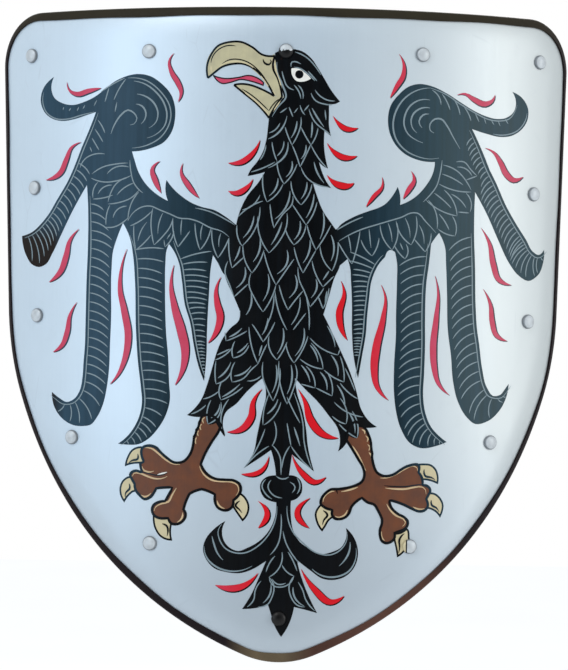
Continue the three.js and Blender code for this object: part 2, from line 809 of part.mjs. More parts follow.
function addFootRivets(group, name, places, footTop) {
  const burrFrom = footTop + gap;
  const tailFrom = burrFrom + burrThickness + gap;
  places.forEach(({ x, z }, i) => {
    const rivet = flatRivet(flatHeadFrom, tailFrom).translate(x, 0, z);
    const washer = burr(burrFrom).translate(x, 0, z);
    group.add(mesh(numbered(`${name}_rivet`, i), rivet, bareSteel));
    group.add(mesh(numbered(`${name}_burr`, i), washer, bareSteel));
  });
}

function addLining() {
  const rim = rimSeats.map((group) => drill(group, 0, 0, holeRadius, 0, liningBack + overrun));
  const feet = [
    [forearmSeat, forearmRivetPlaces],
    [gripSeat, gripRivetPlaces],
  ];
  const holes = feet.flatMap(([group, places]) =>
    places.flatMap(({ x, z }) => [
      drill(group, x, z, holeRadius, 0, liningBack + overrun),
      drill(group, x, z, flatHeadRadius + gap, 0, headRecess),
    ]),
  );
  const lining = cutAway(sheet(liningInset, liningFront, liningBack), [...rim, ...holes]);
  shield.add(mesh("back_lining", lining, palmLeather));
}

// The pad: crowned, its sides drawn in between the corners, flat only against the lining
function addPad() {
  const base = liningBack + facetRise + gap;
  const seam = base + padThickness * padSeamShare;
  const crownShares = [0, 0.3, 0.55, 0.76, 0.9, 1];
  const baseShares = [0.95, 0.7, 0.4, 0];
  const around = Array.from({ length: padSteps }, (_, i) => {
    const angle = ((i + 0.5) / padSteps) * 2 * Math.PI;
    const square = (value) => Math.sign(value) * Math.abs(value) ** padSquareness;
    const drawn = (value) => 1 - value * value;
    const [u, v] = [square(Math.cos(angle)), square(Math.sin(angle))];
    const pull = padPinch * Math.min(drawn(u) + drawn(v), 1);
    return {
      s: u * (padLength / 2 - (Math.abs(u) > Math.abs(v) ? pull : 0)),
      z: v * (padHeight / 2 - (Math.abs(v) > Math.abs(u) ? pull : 0)),
    };
  });
  const ring = (share, depth) =>
    around.map(({ s, z }) => bend(padArc + s * share, armLineHeight + z * share, depth));
  const crown = crownShares.map((share) => {
    const rise = Math.sqrt(Math.max(0, 1 - share ** 3));
    return ring(share, seam + (base + padThickness - seam) * rise);
  });
  const under = baseShares.map((share, i) => ring(share, i === 0 ? base + padSeam / 2 : base));
  shield.add(mesh("arm_pad", loft([...crown, ...under], false), palmLeather));
}

addPlate();
addBinding();
addLining();
addRimRivets();
addChape();
addBillet();
addBuckle();
addTongue();
addKeeper();
addFootRivets(forearmSeat, "forearm", forearmRivetPlaces, footDepth + strapThickness / 2);
addFootRivets(gripSeat, "grip", gripRivetPlaces, addGrip());
addPad();
shield.add(forearmSeat, gripSeat);
shield.position.set(0, -armLineDepth, -armLineHeight);

export default shield;
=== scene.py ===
"""A bent heater shield with its painted eagle, bound edge, rivets and the leather on its back."""
import math

import bmesh
import bpy
from mathutils import Matrix, Vector
from mathutils.geometry import delaunay_2d_cdt
from mathutils.kdtree import KDTree


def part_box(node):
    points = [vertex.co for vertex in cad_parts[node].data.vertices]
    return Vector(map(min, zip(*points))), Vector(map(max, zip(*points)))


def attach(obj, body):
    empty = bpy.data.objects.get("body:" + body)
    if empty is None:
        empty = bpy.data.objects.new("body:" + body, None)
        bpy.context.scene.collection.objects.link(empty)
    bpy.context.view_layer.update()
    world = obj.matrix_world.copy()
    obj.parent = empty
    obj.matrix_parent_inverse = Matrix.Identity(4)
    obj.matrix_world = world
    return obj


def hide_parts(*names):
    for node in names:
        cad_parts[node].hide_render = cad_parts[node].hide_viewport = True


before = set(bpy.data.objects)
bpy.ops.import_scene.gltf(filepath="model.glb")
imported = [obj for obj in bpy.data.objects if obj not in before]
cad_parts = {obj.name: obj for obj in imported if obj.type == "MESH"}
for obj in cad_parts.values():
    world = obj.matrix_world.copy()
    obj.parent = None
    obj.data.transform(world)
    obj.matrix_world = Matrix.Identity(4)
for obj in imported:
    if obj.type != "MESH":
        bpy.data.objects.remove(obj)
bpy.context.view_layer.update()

bl_info = {
    "name": "Heraldic Shield",
    "version": (1, 0, 0),
    "blender": (4, 5, 0),
    "location": "3D View > Sidebar > Shield",
    "description": "Builds a painted heater shield, its rivets, its bound edge and the straps on its back",
    "category": "Object",
}

# Sizes are millimetres, as in the part's source, until a mesh is made
MM = 0.001
GAP = 0.3

# Plate and its turned-back border
PLATE_RADIUS = 390
PLATE_THICKNESS = 1.5
SHIELD_HEIGHT = 591
TOP_HALF_ARC = 293.9
SIDE_TAPER = math.radians(2.44)
STRAIGHT_SIDE = 274
CORNER_RADIUS = 48
SHOULDER_RADIUS = 233
SHOULDER_HEADING = math.radians(22.3)
TIP_RADIUS = 84.6
BORDER_WIDTH = 28
BORDER_DROP = 4
HALF_HEIGHT = SHIELD_HEIGHT / 2

# Binding, lining and the place that the part is measured from
BINDING_WIDTH = 8
BINDING_THICKNESS = 1.5
BINDING_FLAT = 2
BINDING_SIDE_SHARE = 0.68
BINDING_EASE = 0.15
LINING_THICKNESS = 3.5
LINING_INSET = 12
ARM_LINE_HEIGHT = 30
ARM_LINE_DEPTH = 55
LINING_FRONT = PLATE_THICKNESS + GAP
LINING_BACK = LINING_FRONT + LINING_THICKNESS

# Rivets and burrs
SHANK_RADIUS = 2
HOLE_RADIUS = SHANK_RADIUS + GAP
DOME_RADIUS = 6.6
DOME_HEIGHT = 3.6
DOME_RIM = 0.6
DOME_SIDES = 28
TAIL_RADIUS = 3.6
TAIL_HEIGHT = 1.2
TAIL_EDGE = 0.3
FLAT_HEAD_RADIUS = 7
FLAT_HEAD_THICKNESS = 1
SMALL_FIXING_SIDES = 24
BURR_RADIUS = 6
BURR_THICKNESS = 1
RIVET_INSET = 40
CORNER_RIVET_INSET = 41.3
UPPER_SIDE_RIVET_DROP = 162.5
LOWER_SIDE_RIVET_DROP = 280.5
FLANK_RIVET_SHARES = (0.2, 0.607)

# Forearm strap and buckle
STRAP_WIDTH = 40
STRAP_THICKNESS = 2.8
STRAP_SOFTNESS = 0.8
STRAP_ARC = 90
BAR_DEPTH = 82
ARCH_HALF = 80
ARCH_SPREAD = 8
ARCH_RADIUS = 24
FOOT_RADIUS = 6
FOOT_LENGTH = 38
FOOT_END_RADIUS = 9
STRAP_RIVET_PITCH = 22
STRAP_RIVET_END = 13
BAR_RADIUS = 2.2
BAR_RISE = 2
FRAME_HALF_WIDTH = 26
FRAME_LENGTH = 28
FRAME_CORNER = 5
TONGUE_THICKNESS = 2.6
TONGUE_WIDTH = 5
TONGUE_SLOT_WIDTH = 7.5
TONGUE_EYE_START = math.radians(17.6)
TONGUE_TIP_SHARE = 0.6
TONGUE_TAPER = 4
TONGUE_SOFTNESS = 0.9
CHAPE_TURN_BACK = 28
CHAPE_DIP_START = 4
CHAPE_DIP_END = 16
BILLET_TIP = 54
BILLET_RAMP_START = 25
BILLET_RAMP_END = 4
BILLET_POINT_LENGTH = 16
BILLET_TIP_SHARE = 0.06
HOLE_LENGTH = 14
HOLE_WIDTH = 6.5
HOLE_PITCH = 21
HOLE_LEAD = 2.5
KEEPER_WIDTH = 10
KEEPER_THICKNESS = 1.8
KEEPER_CORNER = 2.4

# A half width so large that no point counts as near the edge, for leather with no dark edges
NOWHERE_NEAR = 1000

# Hand grip
GRIP_WIDTH = 28
GRIP_THICKNESS = 4.5
GRIP_ARC = -105
GRIP_HALF = 56
GRIP_SPREAD = 10
GRIP_RADIUS = 22
GRIP_CLEAR = 40
GRIP_FOOT_LENGTH = 36
GRIP_END_RADIUS = 11
GRIP_RIVET_PITCH = 14
GRIP_RIVET_END = 8

# Stitches of the straps: how far they keep from the edge and from the ends, and how proud they lie
STITCH_EDGE = 4
STITCH_END = 6
BILLET_STITCH_END = 20
STITCH_RISE = 0.3

# Arm pad
PAD_ARC = 45
PAD_LENGTH = 240
PAD_HEIGHT = 130
PAD_THICKNESS = 18
PAD_PINCH = 7
PAD_SEAM = 2.5
PAD_SEAM_SHARE = 0.4
PAD_SQUARENESS = 0.34
PAD_EASE = 0.35
PAD_SHRINK = 0.98
PAD_CROWN_SHARE = 0.8
PAD_STITCH_INSET = 7
PAD_STITCH_RISE = 0.2
PIPING_RADIUS = 1.4
PIPING_SHARE = 0.985

# Stuffing of the arm pad
PAD_VOXEL = 5
PAD_SEWN_DEPTH = 1.5
PAD_PRESSURE = 4
PAD_PIN_STIFFNESS = 2
PAD_SETTLING_FRAMES = 20
PAD_SWELL_LIMIT = 6

# Distance between the points of each sheet's mesh
PLATE_GRID = 7
LINING_GRID = 12
PAINT_GRID = 6

# The photograph's frame and where the camera stood
PHOTO_MIDDLE = (282.3, 334.7)
PHOTO_SIZE = (568, 670)
PIXEL = 0.9
CAMERA_DISTANCE = 2600
CAMERA_ROLL = math.radians(0.75)
SENSOR_HEIGHT = 36


# Outline of the shield, laid flat: s runs along the bend and z upwards
def normal_at(heading):
    return Vector((math.cos(heading), -math.sin(heading)))


TIP_HEADING = math.pi / 2
TOP_HEADING = -math.pi / 2
SIDE_END = Vector((TOP_HALF_ARC - STRAIGHT_SIDE * math.tan(SIDE_TAPER), HALF_HEIGHT - STRAIGHT_SIDE))
SHOULDER_CENTRE = SIDE_END - normal_at(SIDE_TAPER) * SHOULDER_RADIUS
SHOULDER_END = SHOULDER_CENTRE + normal_at(SHOULDER_HEADING) * SHOULDER_RADIUS
TIP_CENTRE = Vector((0, TIP_RADIUS - HALF_HEIGHT))
CORNER_CENTRE = Vector((
    TOP_HALF_ARC - CORNER_RADIUS * math.tan(SIDE_TAPER) - CORNER_RADIUS / math.cos(SIDE_TAPER),
    HALF_HEIGHT - CORNER_RADIUS,
))


def flank_radius():
    """The radius of the long arc that touches both the shoulder and the tip."""
    across, above = SHOULDER_END - TIP_CENTRE
    square = across * across + above * above - TIP_RADIUS * TIP_RADIUS
    reach = across * math.cos(SHOULDER_HEADING) - above * math.sin(SHOULDER_HEADING) - TIP_RADIUS
    return square / (2 * reach)


FLANK_RADIUS = flank_radius()
FLANK_CENTRE = SHOULDER_END - normal_at(SHOULDER_HEADING) * FLANK_RADIUS
FLANK_HEADING = math.atan2(FLANK_CENTRE.y - TIP_CENTRE.y, TIP_CENTRE.x - FLANK_CENTRE.x)


def mix(a, b, share):
    return a + (b - a) * share


def arc_stations(centre, radius, start, end, steps):
    for step in range(steps):
        normal = normal_at(mix(start, end, step / steps))
        yield centre + normal * radius, normal


def straight_stations(start, end, normal, steps):
    for step in range(steps):
        yield start.lerp(end, step / steps), normal


def edge_stations(fineness=1):
    """Points of the outline with their outward normals, from the tip up the right side and round."""
    corner_start = CORNER_CENTRE + normal_at(SIDE_TAPER) * CORNER_RADIUS
    top_start = CORNER_CENTRE + normal_at(TOP_HEADING) * CORNER_RADIUS
    top_middle = Vector((0, HALF_HEIGHT))
    right = [
        *arc_stations(TIP_CENTRE, TIP_RADIUS, TIP_HEADING, FLANK_HEADING, 10 * fineness),
        *arc_stations(FLANK_CENTRE, FLANK_RADIUS, FLANK_HEADING, SHOULDER_HEADING, 44 * fineness),
        *arc_stations(SHOULDER_CENTRE, SHOULDER_RADIUS, SHOULDER_HEADING, SIDE_TAPER, 12 * fineness),
        *straight_stations(SIDE_END, corner_start, normal_at(SIDE_TAPER), 32 * fineness),
        *arc_stations(CORNER_CENTRE, CORNER_RADIUS, SIDE_TAPER, TOP_HEADING, 14 * fineness),
        *straight_stations(top_start, top_middle, normal_at(TOP_HEADING), 34 * fineness),
        (top_middle, normal_at(TOP_HEADING)),
    ]
    left = [(Vector((-p.x, p.y)), Vector((-n.x, n.y))) for p, n in right[1:-1]]
    return right + left[::-1]


EDGE = edge_stations()
FINE_EDGE = edge_stations(6)


def edge_tree():
    tree = KDTree(len(FINE_EDGE))
    for i, (point, _) in enumerate(FINE_EDGE):
        tree.insert(point.to_3d(), i)
    tree.balance()
    return tree


EDGE_TREE = edge_tree()


def inset_at(s, z):
    """How far a place lies inside the outline."""
    place = Vector((s, z))
    _, i, _ = EDGE_TREE.find(place.to_3d())
    point, normal = FINE_EDGE[i]
    return (point - place).dot(normal)


def border_depth(inset):
    share = max(0, 1 - inset / BORDER_WIDTH)
    return BORDER_DROP * share * share


def bend(s, z, depth):
    """A place on the bent shield, in the part's frame. Depth runs from the face to the bend's axis."""
    angle = s / PLATE_RADIUS
    radius = PLATE_RADIUS - depth
    x = radius * math.sin(angle)
    y = PLATE_RADIUS - radius * math.cos(angle) - ARM_LINE_DEPTH
    return Vector((x, y, z - ARM_LINE_HEIGHT))


def on_face(s, z, depth):
    """A place at a depth under the painted face, whose border is turned back."""
    return bend(s, z, border_depth(inset_at(s, z)) + depth)


def seated(arc, x, depth, z):
    """A place in the upright plane that stands on the bend at an arc, and x beside it."""
    angle = arc / PLATE_RADIUS
    foot = bend(arc, ARM_LINE_HEIGHT, 0)
    across = Vector((math.cos(angle), math.sin(angle), 0))
    inwards = Vector((-math.sin(angle), math.cos(angle), 0))
    return foot + across * x + inwards * depth + Vector((0, 0, z))


def from_photo(px, py):
    """The place on the flat outline that a pixel of the photograph shows."""
    across = (px - PHOTO_MIDDLE[0]) * PIXEL
    up = (PHOTO_MIDDLE[1] - py) * PIXEL
    x = across * math.cos(CAMERA_ROLL) - up * math.sin(CAMERA_ROLL)
    z = across * math.sin(CAMERA_ROLL) + up * math.cos(CAMERA_ROLL)
    depth = 0
    for _ in range(6):
        reach = (CAMERA_DISTANCE + depth) / CAMERA_DISTANCE
        angle = math.asin(max(-0.9, min(0.9, x * reach / PLATE_RADIUS)))
        border = border_depth(inset_at(angle * PLATE_RADIUS, z * reach))
        depth = PLATE_RADIUS * (1 - math.cos(angle)) + border
    return Vector((angle * PLATE_RADIUS, z * reach))


# Curves through given points
def smooth(points, step=3):
    """A soft curve through given points, sampled about every step."""
    knots = [Vector(point) for point in points]
    if len(knots) < 3:
        count = max(2, round((knots[1] - knots[0]).length / step))
        return [knots[0].lerp(knots[1], i / count) for i in range(count + 1)]
    chords = [(b - a).length for a, b in zip(knots, knots[1:])]
    speeds = [(b - a) / chord for a, b, chord in zip(knots, knots[1:], chords)]
    slopes = [
        (speeds[i - 1] * chords[i] + speeds[i] * chords[i - 1]) / (chords[i - 1] + chords[i])
        for i in range(1, len(speeds))
    ]
    slopes = [speeds[0] * 2 - slopes[0], *slopes, speeds[-1] * 2 - slopes[-1]]
    curve = []
    for i, chord in enumerate(chords):
        count = max(1, round(chord / step))
        for k in range(count):
            t = k / count
            rise = t * t * (3 - 2 * t)
            leave = t * (1 - t) * (1 - t) * chord
            arrive = t * t * (1 - t) * chord
            curve.append(knots[i].lerp(knots[i + 1], rise) + slopes[i] * leave - slopes[i + 1] * arrive)
    return curve + [knots[-1]]


def closed_outline(runs, step=3):
    """One closed outline from runs that each begin at a sharp corner."""
    outline = []
    for run, following in zip(runs, runs[1:] + runs[:1]):
        outline += smooth([*run, following[0]], step)[:-1]
    return outline


def lengths_of(points):
    lengths = [0]
    for a, b in zip(points, points[1:]):
        lengths.append(lengths[-1] + (b - a).length)
    return lengths


def place_along(points, lengths, distance):
    """The point and direction at a distance along a line."""
    for i in range(1, len(points)):
        if distance <= lengths[i] or i == len(points) - 1:
            run = lengths[i] - lengths[i - 1]
            direction = (points[i] - points[i - 1]) / run
            return points[i - 1] + direction * (distance - lengths[i - 1]), direction


def crossing(start, direction, line):
    """Where a ray first meets a line, or None."""
    nearest = None
    for a, b in zip(line, line[1:]):
        along = b - a
        turn = direction.cross(along)
        if turn == 0:
            continue
        reach = (a - start).cross(along) / turn
        share = (a - start).cross(direction) / turn
        if reach > 1 and 0 <= share <= 1 and (nearest is None or reach < nearest):
            nearest = reach
    return None if nearest is None else start + direction * nearest


def beside(line, distance):
    """A line moved sideways, to the photograph's right where it heads down."""
    curve = smooth(line)
    moved = []
    for i, point in enumerate(curve):
        along = (curve[min(i + 1, len(curve) - 1)] - curve[max(i - 1, 0)]).normalized()
        moved.append(point + Vector((along.y, -along.x)) * distance)
    return moved


def inside(outline, place):
    """Whether a place lies inside a closed outline."""
    within = False
    for a, b in zip(outline, outline[1:] + outline[:1]):
        if (a.y > place.y) == (b.y > place.y):
            continue
        if place.x < a.x + (b.x - a.x) * (place.y - a.y) / (b.y - a.y):
            within = not within
    return within


def barbs(rib, side, far_edge, first, spacing, drop, reach, wing):
    """Strokes that leave a feather's rib and bow down towards its far edge, inside the wing."""
    edge = smooth(far_edge)
    lengths = lengths_of(rib)
    strokes = []
    distance = first
    while distance < lengths[-1] - spacing / 2:
        root, direction = place_along(rib, lengths, distance)
        end = crossing(root, Vector((direction.y, -direction.x)) * side, edge)
        if end is not None:
            span = (end - root) * reach
            low = direction * drop * min(1, span.length / 18)
            while span.length > 1 and not inside(wing, root + (span + low) * 1.06):
                span *= 0.9
                low *= 0.9
            strokes.append([root, root + span * 0.55 + low * 0.3, root + span + low])
        distance += spacing * (0.62 if lengths[-1] - distance < 42 else 1)
    return strokes


def pairs(row):
    return list(zip(row[::2], row[1::2]))


def pointed(row):
    """The two strokes of a feather tip, which meet at its lowest point."""
    points = pairs(row)
    if not points:
        return []
    low = max(range(len(points)), key=lambda i: points[i][1])
    return [points[: low + 1], points[low:]]


# Meshes
def link(name, mesh):
    piece = bpy.data.objects.new(name, mesh)
    bpy.context.scene.collection.objects.link(piece)
    return piece


def carry(piece, body, slot, *nodes):
    """Hangs a piece from its body's empty and hides the nodes that it stands for; the slot is not used."""
    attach(piece, body)
    if nodes:
        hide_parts(*nodes)


def solid(name, points, faces, finish, crease=35):
    """A piece from points in millimetres, shaded smooth except across sharp edges."""
    mesh = bpy.data.meshes.new(name)
    mesh.from_pydata([tuple(point * MM) for point in points], [], faces)
    tidy_mesh(mesh, crease)
    mesh.materials.append(finish)
    return link(name, mesh)


def tidy_mesh(mesh, crease):
    """Merges doubles, drops collapsed faces, turns faces outwards and marks sharp edges."""
    shape = bmesh.new()
    shape.from_mesh(mesh)
    bmesh.ops.remove_doubles(shape, verts=shape.verts, dist=MM * 0.001)
    bmesh.ops.dissolve_degenerate(shape, edges=shape.edges, dist=MM * 0.0005)
    bmesh.ops.recalc_face_normals(shape, faces=shape.faces)
    shape.to_mesh(mesh)
    shape.free()
    mesh.shade_smooth()
    mesh.set_sharp_from_angle(angle=math.radians(crease))


def loft(rings, looped):
    """Points and faces of rings joined side by side, with flat ends unless it is looped."""
    size = len(rings[0])
    points = [point for ring in rings for point in ring]
    faces = []
    count = len(rings)
    for i in range(count if looped else count - 1):
        following = (i + 1) % count
        for j in range(size):
            k = (j + 1) % size
            faces.append((i * size + j, i * size + k, following * size + k, following * size + j))
    if not looped:
        faces.append(tuple(range(size)))
        faces.append(tuple(reversed(range((count - 1) * size, count * size))))
    return points, faces


def signed_area(outline):
    return sum(a.cross(b) for a, b in zip(outline, outline[1:] + outline[:1])) / 2


def triangles_inside(outlines, inner_rings, spacing):
    """Flat triangles that fill closed outlines, with a grid of points inside them."""
    points = []
    faces = []
    edges = []
    for outline in outlines:
        start = len(points)
        ordered = outline if signed_area(outline) > 0 else outline[::-1]
        points += ordered
        faces.append(list(range(start, start + len(ordered))))
    for ring in inner_rings:
        start = len(points)
        points += ring
        edges += [(start + i, start + (i + 1) % len(ring)) for i in range(len(ring))]
    low = [min(p[axis] for p in points) for axis in (0, 1)]
    high = [max(p[axis] for p in points) for axis in (0, 1)]
    for row in range(1, int((high[1] - low[1]) / spacing) + 1):
        shift = spacing / 2 * (row % 2)
        for column in range(int((high[0] - low[0]) / spacing) + 1):
            points.append(Vector((low[0] + shift + column * spacing, low[1] + row * spacing)))
    spots, _, found, _, _, origins = delaunay_2d_cdt(points, edges, faces, 0, 0.001, True)
    kept = []
    for face, origin in zip(found, origins):
        if not origin or len(face) != 3:
            continue
        a, b, c = (spots[i] for i in face)
        area = (b - a).cross(c - a)
        if abs(area) > 0.0001:
            kept.append(tuple(face) if area > 0 else tuple(reversed(face)))
    return spots, kept


def skin(spots, faces, front, back):
    """Points and faces of a closed skin: its front, its back and the wall between."""
    count = len(spots)
    points = [front(p.x, p.y) for p in spots] + [back(p.x, p.y) for p in spots]
    sides = {(face[i], face[(i + 1) % 3]) for face in faces for i in range(3)}
    made = list(faces)
    made += [tuple(i + count for i in reversed(face)) for face in faces]
    made += [(b, a, a + count, b + count) for a, b in sides if (b, a) not in sides]
    used = sorted({i for face in made for i in face})
    order = {old: new for new, old in enumerate(used)}
    return [points[i] for i in used], [tuple(order[i] for i in face) for face in made]


def sheet(name, outer_inset, front_depth, back_depth, spacing, finish):
    """A sheet that follows the plate, with close rings where the border turns back."""
    insets = [outer_inset + step * (BORDER_WIDTH - outer_inset) / 8 for step in range(9)]
    rings = [[point - normal * inset for point, normal in EDGE] for inset in insets]
    spots, faces = triangles_inside(rings[:1], rings[1:], spacing)
    points, faces = skin(
        spots, faces, lambda s, z: on_face(s, z, front_depth), lambda s, z: on_face(s, z, back_depth)
    )
    return solid(name, points, faces, finish)


def paint_patch(name, outlines, lift, finish):
    """A thin coat of paint that fills outlines drawn on the photograph."""
    laid = [[from_photo(*point) for point in outline] for outline in outlines]
    spots, faces = triangles_inside(laid, [], PAINT_GRID)
    points, faces = skin(
        spots, faces, lambda s, z: on_face(s, z, -lift), lambda s, z: on_face(s, z, -0.02)
    )
    carry(solid(name, points, faces, finish), "shield", "figure_paint")


# Node trees
class Bench:
    """Adds nodes to one tree and joins them."""

    def __init__(self, tree):
        self.tree = tree

    def add(self, kind, inputs=None, **settings):
        node = self.tree.nodes.new(kind)
        for key, value in settings.items():
            setattr(node, key, value)
        for socket, value in (inputs or {}).items():
            if isinstance(value, bpy.types.NodeSocket):
                self.tree.links.new(value, node.inputs[socket])
            else:
                node.inputs[socket].default_value = value
        return node

    def noise(self, vector, scale, detail=3.0):
        inputs = {"Vector": vector, "Scale": scale, "Detail": detail}
        return self.add("ShaderNodeTexNoise", inputs).outputs[0]

    def remap(self, value, low, high, to_low=0.0, to_high=1.0):
        inputs = {0: value, 1: low, 2: high, 3: to_low, 4: to_high}
        return self.add("ShaderNodeMapRange", inputs).outputs[0]

    def calc(self, operation, a, b=0.0):
        return self.add("ShaderNodeMath", {0: a, 1: b}, operation=operation).outputs[0]

    def times(self, a, b):
        return self.calc("MULTIPLY", a, b)

    def tint(self, share, *colours):
        """Mixes two colours, each plain or a socket."""
        a, b = (one if isinstance(one, bpy.types.NodeSocket) else opaque(one) for one in colours)
        inputs = {0: share, 6: a, 7: b}
        return self.add("ShaderNodeMix", inputs, data_type="RGBA").outputs[2]

    def stretch(self, vector, scale):
        return self.add("ShaderNodeMapping", {"Vector": vector, "Scale": scale}).outputs[0]

    def part(self, vector):
        return self.add("ShaderNodeSeparateXYZ", {0: vector}).outputs

    def group(self, tree, inputs):
        return self.add("ShaderNodeGroup", inputs, node_tree=tree).outputs


def new_group(name, kind, inputs, outputs):
    """A node group with named sockets, and the bench, inputs and output node to build it with."""
    tree = bpy.data.node_groups.new(name, kind)
    for label, holds, default in inputs:
        socket = tree.interface.new_socket(name=label, in_out="INPUT", socket_type="NodeSocket" + holds)
        if default is not None:
            socket.default_value = default
    for label, holds in outputs:
        tree.interface.new_socket(name=label, in_out="OUTPUT", socket_type="NodeSocket" + holds)
    bench = Bench(tree)
    return tree, bench, bench.add("NodeGroupInput").outputs, bench.add("NodeGroupOutput")


def leather_grain():
    """Pores, creases and cloudy colour for leather."""
    made = bpy.data.node_groups.get("Leather grain")
    if made:
        return made
    tree, bench, given, out = new_group(
        "Leather grain",
        "ShaderNodeTree",
        [("Vector", "Vector", None), ("Grain", "Float", 700.0), ("Cloud", "Float", 25.0)],
        [("Height", "Float"), ("Pores", "Float"), ("Mottle", "Float")],
    )
    cells = bench.add("ShaderNodeTexVoronoi", {"Vector": given["Vector"], "Scale": given["Grain"]})
    pores = bench.remap(cells.outputs["Distance"], 0.1, 0.7)
    creases = bench.noise(given["Vector"], bench.times(given["Grain"], 0.18), 4.0)
    low_creases = bench.times(creases, 0.8)
    height = bench.calc("ADD", bench.times(pores, 0.6), low_creases)
    mottle = bench.remap(bench.noise(given["Vector"], given["Cloud"], 5.0), 0.32, 0.68)
    for label, value in (("Height", height), ("Pores", pores), ("Mottle", mottle)):
        bench.tree.links.new(value, out.inputs[label])
    return tree


def brush_marks():
    """Fine parallel streaks left by a brush or an abrasive, and a softer cloud."""
    made = bpy.data.node_groups.get("Brush marks")
    if made:
        return made
    tree, bench, given, out = new_group(
        "Brush marks",
        "ShaderNodeTree",
        [("Vector", "Vector", None), ("Fineness", "Float", 600.0), ("Cloud", "Float", 8.0)],
        [("Streaks", "Float"), ("Cloud", "Float")],
    )
    streaks = bench.noise(bench.stretch(given["Vector"], (1.0, 1.0, 0.03)), given["Fineness"], 4.0)
    cloud = bench.noise(given["Vector"], given["Cloud"], 4.0)
    bench.tree.links.new(bench.remap(streaks, 0.3, 0.7), out.inputs["Streaks"])
    bench.tree.links.new(bench.remap(cloud, 0.3, 0.7), out.inputs["Cloud"])
    return tree


def scuffs():
    """Sparse short scratches and rubbed spots."""
    made = bpy.data.node_groups.get("Scuffs")
    if made:
        return made
    tree, bench, given, out = new_group(
        "Scuffs",
        "ShaderNodeTree",
        [("Vector", "Vector", None), ("Spread", "Float", 40.0), ("Amount", "Float", 0.5)],
        [("Scratches", "Float"), ("Rubbed", "Float")],
    )
    lines = bench.add(
        "ShaderNodeTexVoronoi",
        {"Vector": bench.stretch(given["Vector"], (1.0, 1.0, 0.35)), "Scale": given["Spread"]},
        feature="DISTANCE_TO_EDGE",
    )
    thin = bench.remap(lines.outputs["Distance"], 0.0, 0.014, 1.0, 0.0)
    coarse = bench.noise(given["Vector"], bench.times(given["Spread"], 0.9), 2.0)
    scratches = bench.times(thin, bench.remap(coarse, 0.56, 0.62))
    scratches = bench.times(scratches, given["Amount"])
    fine = bench.noise(given["Vector"], bench.times(given["Spread"], 2.5), 6.0)
    rubbed = bench.remap(fine, 0.6, 0.7)
    bench.tree.links.new(scratches, out.inputs["Scratches"])
    bench.tree.links.new(bench.times(rubbed, given["Amount"]), out.inputs["Rubbed"])
    return tree


def new_finish(name):
    """A material's bench, its Principled shader and its Object coordinates."""
    material = bpy.data.materials.new(name)
    material.use_nodes = True
    bench = Bench(material.node_tree)
    shader = material.node_tree.nodes["Principled BSDF"]
    place = bench.add("ShaderNodeTexCoord").outputs["Object"]
    return material, bench, shader, place


def join(bench, shader, colour, roughness=None, height=None, depth=0.2, reach=0.0005):
    links = bench.tree.links
    links.new(colour, shader.inputs["Base Color"])
    if roughness is not None:
        links.new(roughness, shader.inputs["Roughness"])
    if height is not None:
        bump = bench.add("ShaderNodeBump", {"Height": height, "Strength": depth, "Distance": reach})
        links.new(bump.outputs[0], shader.inputs["Normal"])


def linear(step):
    share = step / 255
    return share / 12.92 if share <= 0.04045 else ((share + 0.055) / 1.055) ** 2.4


def srgb(red, green, blue):
    """Linear values of a colour that is given in steps of 255."""
    return linear(red), linear(green), linear(blue)


def opaque(colour):
    return (*colour[:3], 1.0)


def shaded(colour, share):
    return (*[min(1.0, value * share) for value in colour[:3]], 1.0)


# Where a colour gives way to the next, in metres in the part's frame: where that begins and ends
# Painted shade in the field: greyer towards the right and low down, duller towards the tip
FIELD_GREY_SHADE_ACROSS = (0.02, 0.2)
FIELD_GREY_SHADE_BELOW = (-0.14, -0.3)
FIELD_TIP_SHADE_BELOW = (-0.1, -0.26)
# Where the painted blue-grey reflection spreads out over the wings
BODY_TO_WING = (0.045, 0.085)
WING_TO_FEATHERS = (0.09, 0.15)
LEFT_TO_RIGHT_WING = (-0.1, 0.1)
STREAKS_OUTWARDS = (0.05, 0.15)
WORN_TIP_ACROSS = (-0.2, -0.212)
WORN_TIP_BELOW = (0.075, 0.055)
CROWN_ACROSS = (0.03, 0.0)
CROWN_ABOVE = (0.205, 0.23)
FLAME_MIDDLE = 0.022
FLAMES_OUTWARDS = (0.045, 0.11)
HEAD_HALF_WIDTH = 0.02
HEAD_TOP = 0.2285
CLAW_START = 0.09
CLAW_END = 0.1142
CLAW_TOP = -0.19
CLAW_RIM = 0.1148
CLAW_RIM_HALF_WIDTH = 0.0006
# Where the painted reflections on the binding lie
BINDING_TOP_ABOVE = (0.235, 0.262)
BINDING_BROWN_FROM = (-0.01, 0.03)
BINDING_BROWN_TO = (0.17, 0.13)
BINDING_BROWN_BELOW = (-0.15, -0.2)
BINDING_TIP_MIDDLE = -0.008
BINDING_TIP_ACROSS = (0.04, 0.012)
BINDING_TIP_BELOW = (-0.2, -0.25)


